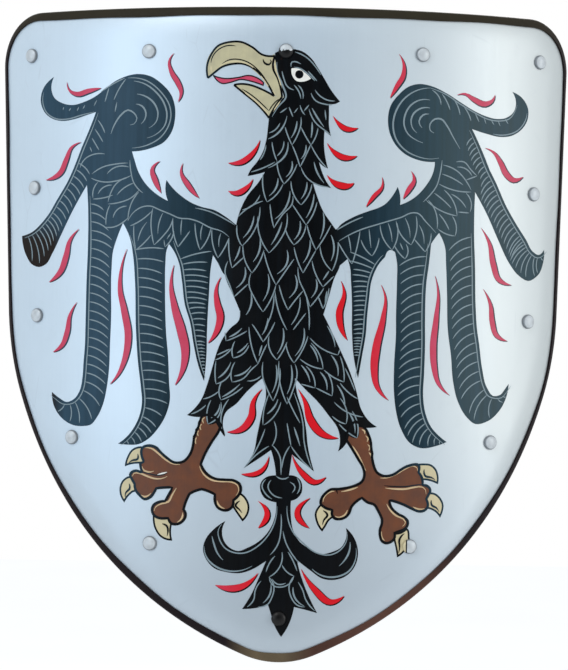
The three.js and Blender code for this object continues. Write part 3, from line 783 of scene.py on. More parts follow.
def field_paint(paint):
    material, bench, shader, place = new_finish("field_paint")
    marks = bench.group(brush_marks(), {"Vector": place, "Fineness": 420.0, "Cloud": 7.0})
    worn = bench.group(scuffs(), {"Vector": place, "Spread": 26.0, "Amount": 0.14})
    x, _, z = bench.part(place)
    base = bench.tint(marks["Cloud"], shaded(paint.field, 0.96), shaded(paint.field, 1.04))
    base = bench.tint(bench.times(marks["Streaks"], 0.06), base, paint.field_pale)
    # Painted shade: the field greys towards the right and low down, and dulls towards the tip
    greyer_shade = bench.calc("MAXIMUM", bench.remap(x, *FIELD_GREY_SHADE_ACROSS), bench.remap(z, *FIELD_GREY_SHADE_BELOW))
    base = bench.tint(bench.times(greyer_shade, 0.85), base, paint.field_grey_shade)
    base = bench.tint(bench.remap(z, *FIELD_TIP_SHADE_BELOW, 0.0, 0.75), base, paint.field_tip_shade)
    base = bench.tint(bench.times(worn["Rubbed"], 0.25), base, paint.field_worn)
    base = bench.tint(worn["Scratches"], base, paint.field_worn)
    rough = bench.remap(marks["Streaks"], 0.0, 1.0, 0.38, 0.42)
    behind = behind_plate(bench, place)
    base = bench.tint(behind, base, paint.bare)
    bench.tree.links.new(bench.remap(behind, 0.0, 1.0, 0.25, 1.0), shader.inputs["Metallic"])
    join(bench, shader, base, rough, marks["Streaks"], 0.025, 0.0002)
    return material


def black_paint(paint):
    """Black on the body, with a painted blue-grey reflection over the wings and brown at one worn feather
    tip.
    """
    material, bench, shader, place = new_finish("black_paint")
    marks = bench.group(brush_marks(), {"Vector": place, "Fineness": 260.0, "Cloud": 30.0})
    worn = bench.group(scuffs(), {"Vector": place, "Spread": 60.0, "Amount": 0.5})
    x, _, z = bench.part(place)
    # Painted reflection: the black turns blue-grey outwards over the wings, greyer on the right one
    low = bench.times(bench.calc("MINIMUM", z, 0.0), 0.3)
    outwards = bench.calc("ADD", bench.calc("ABSOLUTE", x), low)
    base = bench.tint(bench.remap(outwards, *BODY_TO_WING), paint.black, paint.wing)
    side = bench.remap(x, *LEFT_TO_RIGHT_WING)
    outer_sheen = bench.tint(side, paint.left_wing_sheen, paint.right_wing_sheen)
    base = bench.tint(bench.remap(outwards, *WING_TO_FEATHERS), base, outer_sheen)
    streaks = bench.times(marks["Streaks"], bench.remap(outwards, *STREAKS_OUTWARDS, 0.02, 0.3))
    base = bench.tint(streaks, base, shaded(paint.left_wing_sheen, 1.8))
    brown = bench.times(bench.remap(x, *WORN_TIP_ACROSS), bench.remap(z, *WORN_TIP_BELOW))
    base = bench.tint(brown, base, paint.worn_tip)
    crown = bench.remap(bench.calc("ABSOLUTE", x), *CROWN_ACROSS)
    crown = bench.times(crown, bench.remap(z, *CROWN_ABOVE))
    base = bench.tint(bench.times(worn["Rubbed"], crown), base, paint.leg)
    rough = bench.remap(marks["Cloud"], 0.0, 1.0, 0.3, 0.42)
    shader.inputs["Specular IOR Level"].default_value = 0.09
    join(bench, shader, base, rough, marks["Streaks"], 0.06, 0.0003)
    return material


def brushed_colour(name, colour, paler, gloss=0.4):
    """Enamel laid on with a small brush, a little uneven in tone."""
    material, bench, shader, place = new_finish(name)
    marks = bench.group(brush_marks(), {"Vector": place, "Fineness": 500.0, "Cloud": 90.0})
    base = bench.tint(bench.times(marks["Cloud"], 0.7), colour, paler)
    base = bench.tint(bench.times(marks["Streaks"], 0.2), base, shaded(colour, 0.8))
    shader.inputs["Specular IOR Level"].default_value = 0.22
    rough = bench.remap(marks["Cloud"], 0.0, 1.0, gloss - 0.05, gloss + 0.08)
    join(bench, shader, base, rough, marks["Cloud"], 0.1)
    return material


def flame_paint(paint):
    material, bench, shader, place = new_finish("flame_paint")
    marks = bench.group(brush_marks(), {"Vector": place, "Fineness": 500.0, "Cloud": 120.0})
    x = bench.calc("ABSOLUTE", bench.calc("SUBTRACT", bench.part(place)[0], FLAME_MIDDLE))
    base = bench.tint(bench.remap(x, *FLAMES_OUTWARDS), paint.flame, paint.flame_outer)
    base = bench.tint(bench.times(marks["Cloud"], 0.25), base, shaded(paint.flame, 0.7))
    shader.inputs["Specular IOR Level"].default_value = 0.2
    join(bench, shader, base, bench.remap(marks["Cloud"], 0.0, 1.0, 0.34, 0.44), marks["Cloud"], 0.1)
    return material


def bend_distance(bench, place):
    """How far a place lies from the axis that the plate is bent round, in metres."""
    x, y, _ = bench.part(place)
    y = bench.calc("SUBTRACT", y, (PLATE_RADIUS - ARM_LINE_DEPTH) * MM)
    square = bench.calc("ADD", bench.times(x, x), bench.times(y, y))
    return bench.calc("SQRT", square)


def behind_plate(bench, place):
    """One where a place lies behind the painted face and nought in front of it."""
    middle = (PLATE_RADIUS - BORDER_DROP - PLATE_THICKNESS / 2) * MM
    return bench.calc("LESS_THAN", bend_distance(bench, place), middle)


def rivet_paint(paint):
    """Field paint on the domes, darkened near their rims as painted shade, with the figure's black and
    cream where they cross one.
    """
    material, bench, shader, place = new_finish("rivet_paint")
    marks = bench.group(brush_marks(), {"Vector": place, "Fineness": 900.0, "Cloud": 160.0})
    x, _, z = bench.part(place)
    ragged = bench.calc("ADD", z, bench.times(marks["Cloud"], 0.004))
    middle = bench.calc("LESS_THAN", bench.calc("ABSOLUTE", x), HEAD_HALF_WIDTH)
    black = bench.times(middle, bench.calc("LESS_THAN", ragged, HEAD_TOP))
    low = bench.calc("LESS_THAN", z, CLAW_TOP)
    claw = bench.calc("GREATER_THAN", x, CLAW_START)
    claw = bench.times(claw, bench.calc("LESS_THAN", x, CLAW_END))
    claw = bench.times(claw, low)
    base = bench.tint(marks["Cloud"], shaded(paint.rivet, 0.84), shaded(paint.rivet, 1.1))
    # Painted shade: a dark ring low on each dome, where it meets the plate
    top = PLATE_RADIUS + GAP + DOME_HEIGHT
    rim_shade = bench.remap(bend_distance(bench, place), (top - 1.8) * MM, (top - 1.2) * MM, 1.0, 0.0)
    base = bench.tint(bench.times(rim_shade, 0.8), base, paint.rim_shade)
    base = bench.tint(black, base, paint.black)
    base = bench.tint(claw, base, paint.claw)
    rim = bench.calc("COMPARE", x, CLAW_RIM)
    rim.node.inputs[2].default_value = CLAW_RIM_HALF_WIDTH
    base = bench.tint(bench.times(rim, low), base, paint.black)
    behind = behind_plate(bench, place)
    base = bench.tint(behind, base, paint.bare)
    bench.tree.links.new(bench.remap(behind, 0.0, 1.0, 0.1, 1.0), shader.inputs["Metallic"])
    shader.inputs["Specular IOR Level"].default_value = 0.25
    join(bench, shader, base, bench.remap(marks["Cloud"], 0.0, 1.0, 0.3, 0.42), marks["Cloud"], 0.06)
    return material


def binding_leather(leather):
    material, bench, shader, place = new_finish("binding_leather")
    grain = bench.group(leather_grain(), {"Vector": place, "Grain": 420.0, "Cloud": 14.0})
    x, _, z = bench.part(place)
    # Painted reflections on the glossy black leather: olive along the top, brown low on the right,
    # olive-brown at the tip
    top = bench.remap(z, *BINDING_TOP_ABOVE)
    base = bench.tint(top, leather.binding, leather.binding_top_sheen)
    brown = bench.times(bench.remap(x, *BINDING_BROWN_FROM), bench.remap(x, *BINDING_BROWN_TO))
    brown = bench.times(brown, bench.remap(z, *BINDING_BROWN_BELOW))
    base = bench.tint(brown, base, leather.binding_brown_sheen)
    point = bench.calc("ABSOLUTE", bench.calc("SUBTRACT", x, BINDING_TIP_MIDDLE))
    point = bench.remap(point, *BINDING_TIP_ACROSS)
    point = bench.times(point, bench.remap(z, *BINDING_TIP_BELOW))
    base = bench.tint(point, base, leather.binding_tip_sheen)
    base = bench.tint(bench.times(grain["Mottle"], 0.35), base, shaded(leather.binding, 0.4))
    shader.inputs["Specular IOR Level"].default_value = 0.1
    rough = bench.remap(grain["Pores"], 0.0, 1.0, 0.6, 0.45)
    join(bench, shader, base, rough, grain["Height"], 0.35, 0.0004)
    return material


def worn_leather(name, colour, dark, grain_scale=520.0, gloss=0.55):
    """Waxed leather that is darker in its pores and along its creases."""
    material, bench, shader, place = new_finish(name)
    grain = bench.group(leather_grain(), {"Vector": place, "Grain": grain_scale, "Cloud": 22.0})
    worn = bench.group(scuffs(), {"Vector": place, "Spread": 55.0, "Amount": 0.6})
    base = bench.tint(grain["Mottle"], colour, shaded(colour, 1.35))
    base = bench.tint(bench.remap(grain["Pores"], 0.35, 0.0, 0.0, 0.6), base, dark)
    base = bench.tint(bench.times(worn["Scratches"], 0.7), base, shaded(colour, 1.8))
    base = bench.tint(bench.times(worn["Rubbed"], 0.4), base, dark)
    rough = bench.remap(grain["Pores"], 0.0, 1.0, gloss + 0.15, gloss - 0.05)
    shader.inputs["Sheen Weight"].default_value = 0.08
    join(bench, shader, base, rough, grain["Height"], 0.4, 0.0004)
    return material


def edged_leather(name, colour, dark):
    """Strap leather with burnished dark edges, which the strap's own edge attribute marks."""
    material, bench, shader, place = new_finish(name)
    grain = bench.group(leather_grain(), {"Vector": place, "Grain": 620.0, "Cloud": 30.0})
    worn = bench.group(scuffs(), {"Vector": place, "Spread": 70.0, "Amount": 0.6})
    edge = bench.add("ShaderNodeAttribute", attribute_name="edge").outputs["Fac"]
    base = bench.tint(grain["Mottle"], colour, shaded(colour, 1.4))
    base = bench.tint(bench.remap(grain["Pores"], 0.3, 0.0, 0.0, 0.5), base, dark)
    base = bench.tint(bench.times(worn["Scratches"], 0.6), base, shaded(colour, 2.0))
    base = bench.tint(bench.remap(edge, 0.8, 1.0), base, dark)
    rough = bench.remap(edge, 0.8, 1.0, 0.52, 0.32)
    join(bench, shader, base, rough, grain["Height"], 0.35, 0.0004)
    return material


def bare_steel(leather):
    material, bench, shader, place = new_finish("bare_steel")
    marks = bench.group(brush_marks(), {"Vector": place, "Fineness": 1500.0, "Cloud": 260.0})
    base = bench.tint(marks["Cloud"], shaded(leather.steel, 0.72), leather.steel)
    base = bench.tint(bench.remap(marks["Streaks"], 0.85, 1.0, 0.0, 0.5), base, leather.strap_dark)
    shader.inputs["Metallic"].default_value = 1.0
    rough = bench.remap(marks["Cloud"], 0.0, 1.0, 0.28, 0.46)
    join(bench, shader, base, rough, marks["Streaks"], 0.1, 0.0002)
    return material


def waxed_thread(leather):
    return brushed_colour("waxed_thread", leather.thread, shaded(leather.thread, 1.3), 0.6)


# Geometry Nodes
def finish_tree(bench, made, given, out):
    """Ends a tree: its instances become plain mesh and take the given material."""
    whole = bench.add("GeometryNodeRealizeInstances", {0: made}).outputs[0]
    inputs = {"Geometry": whole, "Material": given["Material"]}
    bench.tree.links.new(bench.add("GeometryNodeSetMaterial", inputs).outputs[0], out.inputs[0])


def brush_tree():
    """Sweeps a flat, tapered bead of paint along every line of a mesh."""
    made = bpy.data.node_groups.get("Paint stroke")
    if made:
        return made
    tree, bench, given, out = new_group(
        "Paint stroke",
        "GeometryNodeTree",
        [
            ("Geometry", "Geometry", None),
            ("Flatness", "Float", 0.2),
            ("Material", "Material", None),
        ],
        [("Geometry", "Geometry")],
    )
    girth = bench.add("GeometryNodeInputNamedAttribute", {"Name": "girth"}, data_type="FLOAT").outputs[0]
    curve = bench.add("GeometryNodeMeshToCurve", {0: given["Geometry"]}).outputs[0]
    upright = bench.add("GeometryNodeSetCurveNormal", {0: curve}, mode="Z_UP").outputs[0]
    bead = bench.add("GeometryNodeCurvePrimitiveCircle", {"Resolution": 4, "Radius": 1.0}).outputs[0]
    scale = bench.add("ShaderNodeCombineXYZ", {0: 1.0, 1: given["Flatness"], 2: 1.0}).outputs[0]
    flat = bench.add("GeometryNodeTransform", {"Geometry": bead, "Scale": scale}).outputs[0]
    inputs = {"Curve": upright, "Profile Curve": flat, "Scale": girth, "Fill Caps": True}
    finish_tree(bench, bench.add("GeometryNodeCurveToMesh", inputs).outputs[0], given, out)
    return tree


def fixings_tree():
    """Puts one fixing at every point of a mesh, turned by the point's own turn."""
    made = bpy.data.node_groups.get("Fixings")
    if made:
        return made
    tree, bench, given, out = new_group(
        "Fixings",
        "GeometryNodeTree",
        [
            ("Geometry", "Geometry", None),
            ("Fixing", "Object", None),
            ("Size", "Float", 1.0),
            ("Material", "Material", None),
        ],
        [("Geometry", "Geometry")],
    )
    turn = bench.add("GeometryNodeInputNamedAttribute", {"Name": "turn"}, data_type="FLOAT_VECTOR")
    rotation = bench.add("FunctionNodeEulerToRotation", {0: turn.outputs[0]}).outputs[0]
    fixing = bench.add("GeometryNodeObjectInfo", {"Object": given["Fixing"]}).outputs["Geometry"]
    inputs = {"Points": given["Geometry"], "Instance": fixing, "Rotation": rotation, "Scale": given["Size"]}
    finish_tree(bench, bench.add("GeometryNodeInstanceOnPoints", inputs).outputs[0], given, out)
    return tree


def stitch_tree():
    """Lays stitches along every line of a mesh."""
    made = bpy.data.node_groups.get("Stitches")
    if made:
        return made
    tree, bench, given, out = new_group(
        "Stitches",
        "GeometryNodeTree",
        [
            ("Geometry", "Geometry", None),
            ("Pitch", "Float", 0.005),
            ("Length", "Float", 0.0036),
            ("Thickness", "Float", 0.0009),
            ("Material", "Material", None),
        ],
        [("Geometry", "Geometry")],
    )
    curve = bench.add("GeometryNodeMeshToCurve", {0: given["Geometry"]}).outputs[0]
    inputs = {"Curve": curve, "Length": given["Pitch"]}
    spots = bench.add("GeometryNodeCurveToPoints", inputs, mode="LENGTH").outputs
    bead = bench.add("GeometryNodeMeshUVSphere", {"Segments": 6, "Rings": 4, "Radius": 0.5}).outputs[0]
    sizes = {0: given["Thickness"], 1: given["Thickness"], 2: given["Length"]}
    scale = bench.add("ShaderNodeCombineXYZ", sizes).outputs[0]
    stitch = bench.add("GeometryNodeTransform", {"Geometry": bead, "Scale": scale}).outputs[0]
    turn = bench.add("FunctionNodeAlignRotationToVector", {"Vector": spots["Tangent"]}, axis="Z").outputs[0]
    inputs = {"Points": spots["Points"], "Instance": stitch, "Rotation": turn}
    finish_tree(bench, bench.add("GeometryNodeInstanceOnPoints", inputs).outputs[0], given, out)
    return tree


def grown(source, tree, settings):
    """The plain mesh that a Geometry Nodes tree makes from a source, which is then removed."""
    modifier = source.modifiers.new(tree.name, "NODES")
    modifier.node_group = tree
    sockets = {item.name: item.identifier for item in tree.interface.items_tree if item.in_out == "INPUT"}
    for label, value in settings.items():
        modifier[sockets[label]] = value
    mesh = evaluated_mesh(source)
    source.modifiers.remove(modifier)
    bpy.data.objects.remove(source)
    return mesh


def evaluated_mesh(piece):
    """The plain mesh that a piece and its modifiers make."""
    bpy.context.view_layer.update()
    depsgraph = bpy.context.evaluated_depsgraph_get()
    return bpy.data.meshes.new_from_object(piece.evaluated_get(depsgraph), depsgraph=depsgraph)


def lines_source(name, lines, girths=None):
    """A mesh of open lines, in metres, with the half width of each point where it is given."""
    points = []
    edges = []
    for line in lines:
        start = len(points)
        points += [tuple(point) for point in line]
        edges += [(start + i, start + i + 1) for i in range(len(line) - 1)]
    mesh = bpy.data.meshes.new(name)
    mesh.from_pydata(points, edges, [])
    if girths:
        girth = mesh.attributes.new("girth", "FLOAT", "POINT")
        girth.data.foreach_set("value", [value for line in girths for value in line])
    return link(name, mesh)


def full_stroke(share):
    return 1


def even_stroke(share):
    return 0.25 + 0.75 * min(1, 6 * share, 6 * (1 - share)) ** 0.7


def swelling_stroke(share):
    return 0.22 + 0.78 * math.sin(math.pi * share ** 0.8)


def flame_stroke(share):
    return 0.04 + 0.96 * math.sin(math.pi * share ** 1.25) ** 0.9


def brushwork(name, strokes, lift, flatness, finish, step=3):
    """Strokes on the face from (line on the photograph, width in pixels, profile)."""
    lines = []
    girths = []
    for line, width, profile in strokes:
        curve = [from_photo(*point) for point in smooth(line, step)]
        lengths = lengths_of(curve)
        lines.append([Vector((p.x, p.y, lift)) * MM for p in curve])
        girths.append([width / 2 * PIXEL * profile(length / lengths[-1]) * MM for length in lengths])
    source = lines_source(name + "_lines", lines, girths)
    mesh = grown(source, brush_tree(), {"Flatness": flatness, "Material": finish})
    for vertex in mesh.vertices:
        s, z, height = vertex.co / MM
        vertex.co = on_face(s, z, -height) * MM
    tidy_mesh(mesh, 60)
    carry(link(name, mesh), "shield", "figure_paint")


# The painted eagle. Every run of points, read as pixels of the photograph, begins at a sharp
# corner and ends where the next one begins.
LEFT_SHAFT_OUTER = [
    (96, 112), (90, 128), (82, 147), (73, 170), (68, 181), (57, 200), (48.5, 214.5), (40, 225),
    (33, 231.5),
]
LEFT_SHAFT_INNER = [
    (22, 236), (23, 245), (27, 257), (31.5, 264), (39, 267), (46, 264), (52, 254), (61, 235), (73, 210),
]
LEFT_LONG_OUTER = [
    (87, 185), (88, 202), (88, 245), (86.6, 281), (85.4, 330), (85, 344), (83.6, 362), (82.4, 378),
    (80, 390), (74, 399), (66.6, 402), (59.4, 398),
]
LEFT_LONG_INNER = [
    (52, 392), (57, 412), (64, 420), (73, 425), (83.6, 426), (90, 425), (97, 417), (103, 404),
    (106.6, 388), (109, 368.5), (110, 344), (111, 320), (111.5, 269), (113, 251), (117, 238),
]
LEFT_LOW_OUTER = [
    (123, 223), (130, 238), (133, 254.5), (135, 281), (136, 330), (138, 362), (141, 388), (142, 402),
    (139, 417), (133, 429), (126, 437.5),
]
LEFT_LOW_INNER = [
    (118, 443.6), (127, 444.6), (139, 444), (148, 439), (157.5, 429), (166, 414.5), (169.6, 402),
    (169, 381), (168, 356), (166, 332), (165.4, 317.5), (165, 293), (165.4, 263), (166.6, 250),
]
LEFT_SHORT_OUTER = [
    (169, 244), (174.5, 252), (179, 263), (182, 281), (185, 305), (190, 322), (193.6, 344), (198.5, 366),
]
LEFT_SHORT_INNER = [(204, 381), (206.4, 356), (207, 332), (207.6, 317.5), (209, 293), (210.6, 269)]
LEFT_WING = [
    [(54, 77), (42, 92), (41, 103), (46, 114), (53, 119), (62, 121), (75, 119), (87, 115)],
    LEFT_SHAFT_OUTER, LEFT_SHAFT_INNER, LEFT_LONG_OUTER, LEFT_LONG_INNER, LEFT_LOW_OUTER, LEFT_LOW_INNER,
    LEFT_SHORT_OUTER, LEFT_SHORT_INNER, [(213, 255), (218, 263), (225, 275)], [(240, 276)],
    [(240, 228), (235, 224), (226, 217), (214, 210), (202, 207), (190, 202), (184, 198), (174.5, 190)],
    [(166.6, 180), (165.4, 188)], [(168, 201), (155, 193), (145, 183), (138, 171), (134.5, 160)],
    [
        (132, 151.5), (139, 151), (151.5, 148), (164, 142), (172, 131), (175, 119), (175, 107),
        (171, 94.5), (162, 84), (150, 76), (137, 74), (124, 77), (114, 82), (104, 90), (94.5, 97),
        (84, 102), (73, 105), (62, 103), (54.5, 98), (51.5, 90),
    ],
]

RIGHT_SHAFT_INNER = [
    (475, 192), (487, 214.5), (499, 242), (509, 263), (519, 276), (528, 281), (538, 275), (543, 263),
]
RIGHT_SHAFT_OUTER = [
    (544, 250), (538, 255), (533, 252), (526, 240), (516, 224), (506, 206), (495.5, 182), (489.5, 170),
]
RIGHT_LONG_INNER = [
    (439, 233), (445, 247), (446, 263), (447, 293), (448, 332), (451, 356), (453, 381), (458, 402),
    (466.5, 417), (475, 424), (488, 421), (499, 411), (506, 397.5),
]
RIGHT_LONG_OUTER = [
    (508.5, 384), (505, 389), (500, 395), (493, 396), (487, 388), (482, 368.5), (479, 344), (477, 330),
    (475.5, 305), (475, 269), (474, 233),
]
RIGHT_LOW_INNER = [
    (395, 252), (397, 263), (397, 281), (396, 317.5), (396, 332), (394, 368.5), (394, 393), (396, 411),
    (401, 429), (411, 444), (420, 448), (436, 446),
]
RIGHT_LOW_OUTER = [
    (446.5, 442), (439, 436), (431, 427), (425, 412), (423, 395), (424, 374.5), (425, 344), (425, 317.5),
    (426.5, 281), (429, 263), (431, 244),
]
RIGHT_SHORT_INNER = [(347.5, 259), (350, 267), (351, 281), (352, 305), (352, 332), (353.6, 356)]
RIGHT_SHORT_OUTER = [
    (358, 378), (362, 356), (366, 332), (367, 317.5), (369, 299), (372, 279), (379, 264), (385, 257),
]
RIGHT_WING = [
    [
        (435, 162), (418, 160), (405, 154), (395, 144), (389.5, 132), (388, 119), (391, 105), (399, 94.5),
        (408, 87), (419, 84), (431, 86), (446, 93), (460, 102), (472.5, 110), (485, 116), (497, 119),
        (506, 118), (514, 111.5), (516, 103),
    ],
    [(512.5, 92), (522, 98), (528, 109), (527, 121), (521, 130), (511, 136), (500, 137), (487, 134)],
    [(472, 129), (479, 144)], RIGHT_SHAFT_OUTER[:0:-1], [(544, 250), *RIGHT_SHAFT_INNER[:0:-1]],
    [(475, 192), *RIGHT_LONG_OUTER[:0:-1]], [(508.5, 384), *RIGHT_LONG_INNER[:0:-1]],
    [(439, 233), (435, 238)], RIGHT_LOW_OUTER[:0:-1], [(446.5, 442), *RIGHT_LOW_INNER[:0:-1]],
    [(395, 252), (390, 250)], RIGHT_SHORT_OUTER[:0:-1], [(358, 378), *RIGHT_SHORT_INNER[:0:-1]],
    [(347.5, 259), (330, 270)],
    [
        (328, 226), (335, 230), (341.5, 224), (353.6, 217), (369, 211), (378, 208), (384, 205),
        (392.5, 196),
    ],
    [(397.6, 187), (400, 195)], [(400, 205), (414, 198), (426.5, 185), (432.5, 174.5)],
]

HEAD_AND_NECK = [
    [(275, 53), (282, 50), (292, 49), (301.5, 51), (311, 58), (318, 68), (324.5, 79), (331, 90)],
    [(340, 101.5), (335, 104)], [(329, 104), (329, 113), (329, 126)], [(331, 136)],
    [(324.5, 131), (324, 139), (324.5, 151.5)], [(328, 168.5), (323, 166)],
    [(319, 162), (322, 172), (326, 181)], [(331, 188), (322, 186)],
    [(313, 183), (317, 196), (323, 211), (331, 223)],
    [(336, 230), (338, 245), (340, 265), (334, 279), (329, 296)], [(322, 319), (300, 325), (265, 325)],
    [(242, 316), (234, 297), (226, 279)], [(224, 272), (226, 262), (229, 238)],
    [(236, 226), (237, 221), (241, 208.5), (248, 195), (258, 183)], [(265, 172), (258, 174)],
    [(247.6, 176), (250.5, 170), (257, 162), (263, 151.5), (266.5, 139), (268, 127)],
    [(269, 117.5), (273.6, 110), (282, 99)], [(284, 97), (281, 87), (277, 75), (273.6, 68), (275, 61)],
]
THIGHS_AND_TAIL = [
    [
        (240, 312), (239, 320), (230, 328.5), (223, 338), (217, 351.5), (212, 368.5), (207, 385),
        (201, 400),
    ],
    [(187, 415), (197, 417)], [(206, 416), (208, 424)], [(216, 423), (225, 436)],
    [(223, 427), (226, 412), (236, 404), (247, 391.5)],
    [(263, 378), (266, 393), (261.5, 414.5), (257, 436), (254, 451)], [(244, 468), (258, 459)],
    [(271, 450), (274.4, 463)], [(276, 476)], [(289, 476)], [(292, 454.5), (303, 463)],
    [(314, 471.5), (308, 447), (306, 429), (303, 412), (297, 393)],
    [(295, 378), (304, 388), (318, 402), (329, 416), (338, 429), (340, 442)], [(338, 451.5), (345, 445)],
    [(349, 436), (357, 438)], [(358, 427), (367, 428)],
    [(377, 427), (369, 421), (362, 411), (356, 390), (350, 372), (343, 356), (337, 343), (331, 330)],
    [(322, 312), (281, 316)],
]
KNOB = [
    [
        (288, 475.3), (296, 476.5), (300.7, 480.5), (302.3, 487), (301.5, 493), (297, 498.5),
        (288.5, 501.5), (280, 502.6), (272, 501.5), (264, 497.5), (260.5, 491), (260.2, 484.5),
        (263.5, 479), (269, 476), (276, 475.3),
    ],
]
LILY = [
    [
        (276, 500), (274, 520), (268, 532), (258, 542), (247, 548), (238.5, 551), (230, 548), (224, 541),
        (222, 531),
    ],
    [
        (225.5, 521), (214, 529), (206, 538.5), (203, 549), (206, 559), (214, 568), (226, 572),
        (241, 573), (253, 569), (263, 563),
    ],
    [(266, 561), (257, 582), (251, 595)], [(242, 609), (256, 608)],
    [(268, 605), (270, 611), (274, 624.5)], [(281, 637), (288, 626), (293, 612)],
    [(294, 607), (306, 610)], [(317, 613), (309, 597), (303, 582), (299, 569)],
    [(297, 560), (311, 571), (322, 578.5), (334, 580), (346, 576), (355, 566), (358, 554), (356, 542)],
    [
        (346, 528), (346, 538.5), (341.5, 547), (332, 552), (321, 554), (310, 549), (299, 541),
        (293, 530), (291, 518),
    ],
    [(291, 500)],
]

UPPER_BEAK = [
    [
        (208, 78), (206, 68), (208, 58), (213, 50), (220, 44), (231, 41), (242, 43), (252, 47), (258, 52),
        (263, 56),
    ],
    [(274.5, 54), (274, 61), (273.6, 68), (277, 76), (281, 88)], [(283.5, 98), (279, 97)],
    [(273, 95), (269, 86), (263, 79), (255, 71.5), (246, 65), (237, 63), (229, 64), (220, 67), (213, 73)],
]
LOWER_BEAK = [
    [(233.6, 85.4), (242, 91.5), (253, 100.6), (261.5, 109)], [(269, 117.5), (273.6, 110), (280, 101)],
    [(283, 97), (274, 96), (261, 89), (250.5, 85), (240, 84)],
]
TONGUE = [
    [(213, 75), (225, 78), (238, 77), (249, 75), (258.5, 78)], [(264, 82.5)],
    [(263.5, 86), (252, 82), (241, 80), (230, 83), (222, 84), (216.5, 80.5)],
]
EYE_WHITE = [[(291.5, 68.5), (298, 68.5), (304, 72)], [(311, 78.5), (304, 81.5), (296.6, 81), (292, 75)]]
IRIS_CENTRE = (299.3, 74.4)
IRIS_RADIUS = 4.2

LEFT_LEG = [
    [(201, 415), (199.6, 419.6)], [(198.2, 422.4), (197.4, 426.6)], [(195.4, 429.6), (194.8, 433.2)],
    [(193, 436.4), (192.4, 443), (189, 454), (183, 460.5), (175, 461.5), (167, 456.5)],
    [(158, 447.5), (150, 444.4), (143, 446)], [(142.5, 461.5)], [(139.2, 462.4), (139.7, 467.2)],
    [(141, 471.5), (136, 469.6), (131.5, 471), (129.1, 474.4), (131, 479.5)],
    [(133.6, 484), (135, 491), (139, 496), (144.4, 500.2), (151, 498), (155, 493)],
    [(157, 489.2), (164, 488.6)], [(171.2, 488.3), (167.4, 495)],
    [
        (164.5, 500.2), (157.8, 501.2), (152.6, 504.5), (151, 510.3), (152.6, 515), (156, 518),
        (161.7, 519.4),
    ],
    [(167.4, 519), (171, 524.4), (176, 525.3), (181.8, 523.2), (185.6, 519), (186.6, 513)],
    [(184.6, 509.3), (186.6, 502.6)], [(190.4, 494.5), (196, 491.8)], [(201.9, 490.2), (208, 492.2)],
    [(214, 495), (214, 502), (216.5, 507.5), (221, 510.7), (227.7, 511.2), (233, 507.5)],
    [
        (234.4, 500.7), (239, 496.5), (242, 490), (240.5, 483.5), (234.4, 479.6), (224.8, 478.7),
        (215.3, 477.7), (207.6, 473),
    ],
    [(201.9, 464), (206.7, 452.8), (213.3, 441.4), (219.5, 432)], [(222, 425), (210, 414)],
]
RIGHT_LEG = [
    [
        (345, 440), (351.7, 450.2), (357.4, 459.8), (362.2, 468.4), (363.3, 475), (361, 481),
        (355.5, 484.2),
    ],
    [(347.8, 486.6), (338.3, 488), (330.6, 488.5), (324.9, 492.3), (320.6, 498), (319.6, 503.8)],
    [(323, 507.6), (327.8, 510)],
    [
        (331.1, 510.5), (331, 515.3), (333.8, 519.2), (339.2, 520.2), (346, 518), (350.2, 513.3),
        (352.2, 507.6), (357.4, 502),
    ],
    [(361.7, 499), (367, 503.3), (373.7, 505.7), (377, 511)],
    [
        (380.8, 519), (380.8, 523), (379, 529), (379, 536.3), (381.3, 542), (386, 544.2), (392, 542.4),
        (395.7, 537.5),
    ],
    [
        (395.4, 533.4), (400.5, 532), (405.3, 529.6), (408.4, 525.6), (408.7, 521), (405, 516.6),
        (398, 512.8), (392.5, 507.5),
    ],
    [(390.4, 501.4), (403.3, 505.7), (412, 510), (418.7, 512.4), (424.4, 511.6), (427.8, 508.6)],
    [(427.3, 499)], [(431.1, 492.3), (430.6, 488), (427.5, 485)], [(423.4, 484.2), (423, 478)],
    [(419.6, 472.2), (418.7, 464)],
    [
        (412.9, 463.6), (406.2, 465.5), (399.5, 469.3), (392.8, 473.6), (384.2, 475), (378, 472),
        (374.6, 465),
    ],
    [(373.7, 461), (373, 457)], [(373.3, 453.6), (372.2, 447.4)], [(372, 444), (371, 438.6)],
    [(369.4, 434.4), (367.4, 430)], [(355, 420), (347, 430)],
]
CLAWS = [
    [
        [(145, 447), (138.7, 446.6), (132, 449.5), (127.6, 456)], [(124.8, 466.2), (132, 464)],
        [(138.7, 463.4), (146, 462)],
    ],
    [
        [(134, 477), (128.2, 476.5), (122.5, 480.5), (119.6, 488), (120.6, 496)],
        [(124.4, 502.4), (127.6, 497)], [(133, 492), (138, 490)],
    ],
    [
        [(153, 515), (153, 521), (155, 529), (160.7, 537), (167, 540)], [(172.2, 540.4), (171, 534)],
        [(171.4, 526), (171, 516)],
    ],
    [
        [(238, 492), (242.1, 494), (247, 499.5), (249.3, 507), (248, 514)], [(242.5, 521.3), (238, 515)],
        [(233, 507.5), (230, 500)],
    ],
    [
        [(322, 503), (318, 507), (315, 513), (316, 521)], [(322, 531.5), (325.4, 526.7), (328.7, 521)],
        [(334, 517), (334, 506)],
    ],
    [
        [(415, 464.5), (423.4, 463.6), (431, 464.6), (436.5, 470), (438.4, 477)],
        [(437.8, 484.2), (432, 481.5)], [(423, 480), (416, 476)],
    ],
    [
        [(428, 493), (434, 493), (440, 497.5), (443.4, 505), (442.4, 512)],
        [(439.9, 517.7), (436, 512.5)], [(428, 508.6), (422, 504)],
    ],
    [
        [(393, 533), (401, 532), (407, 528.6)], [(409.4, 537), (409.2, 544), (404, 552)],
        [(397.1, 557.4), (396, 550)], [(394, 541)],
    ],
]

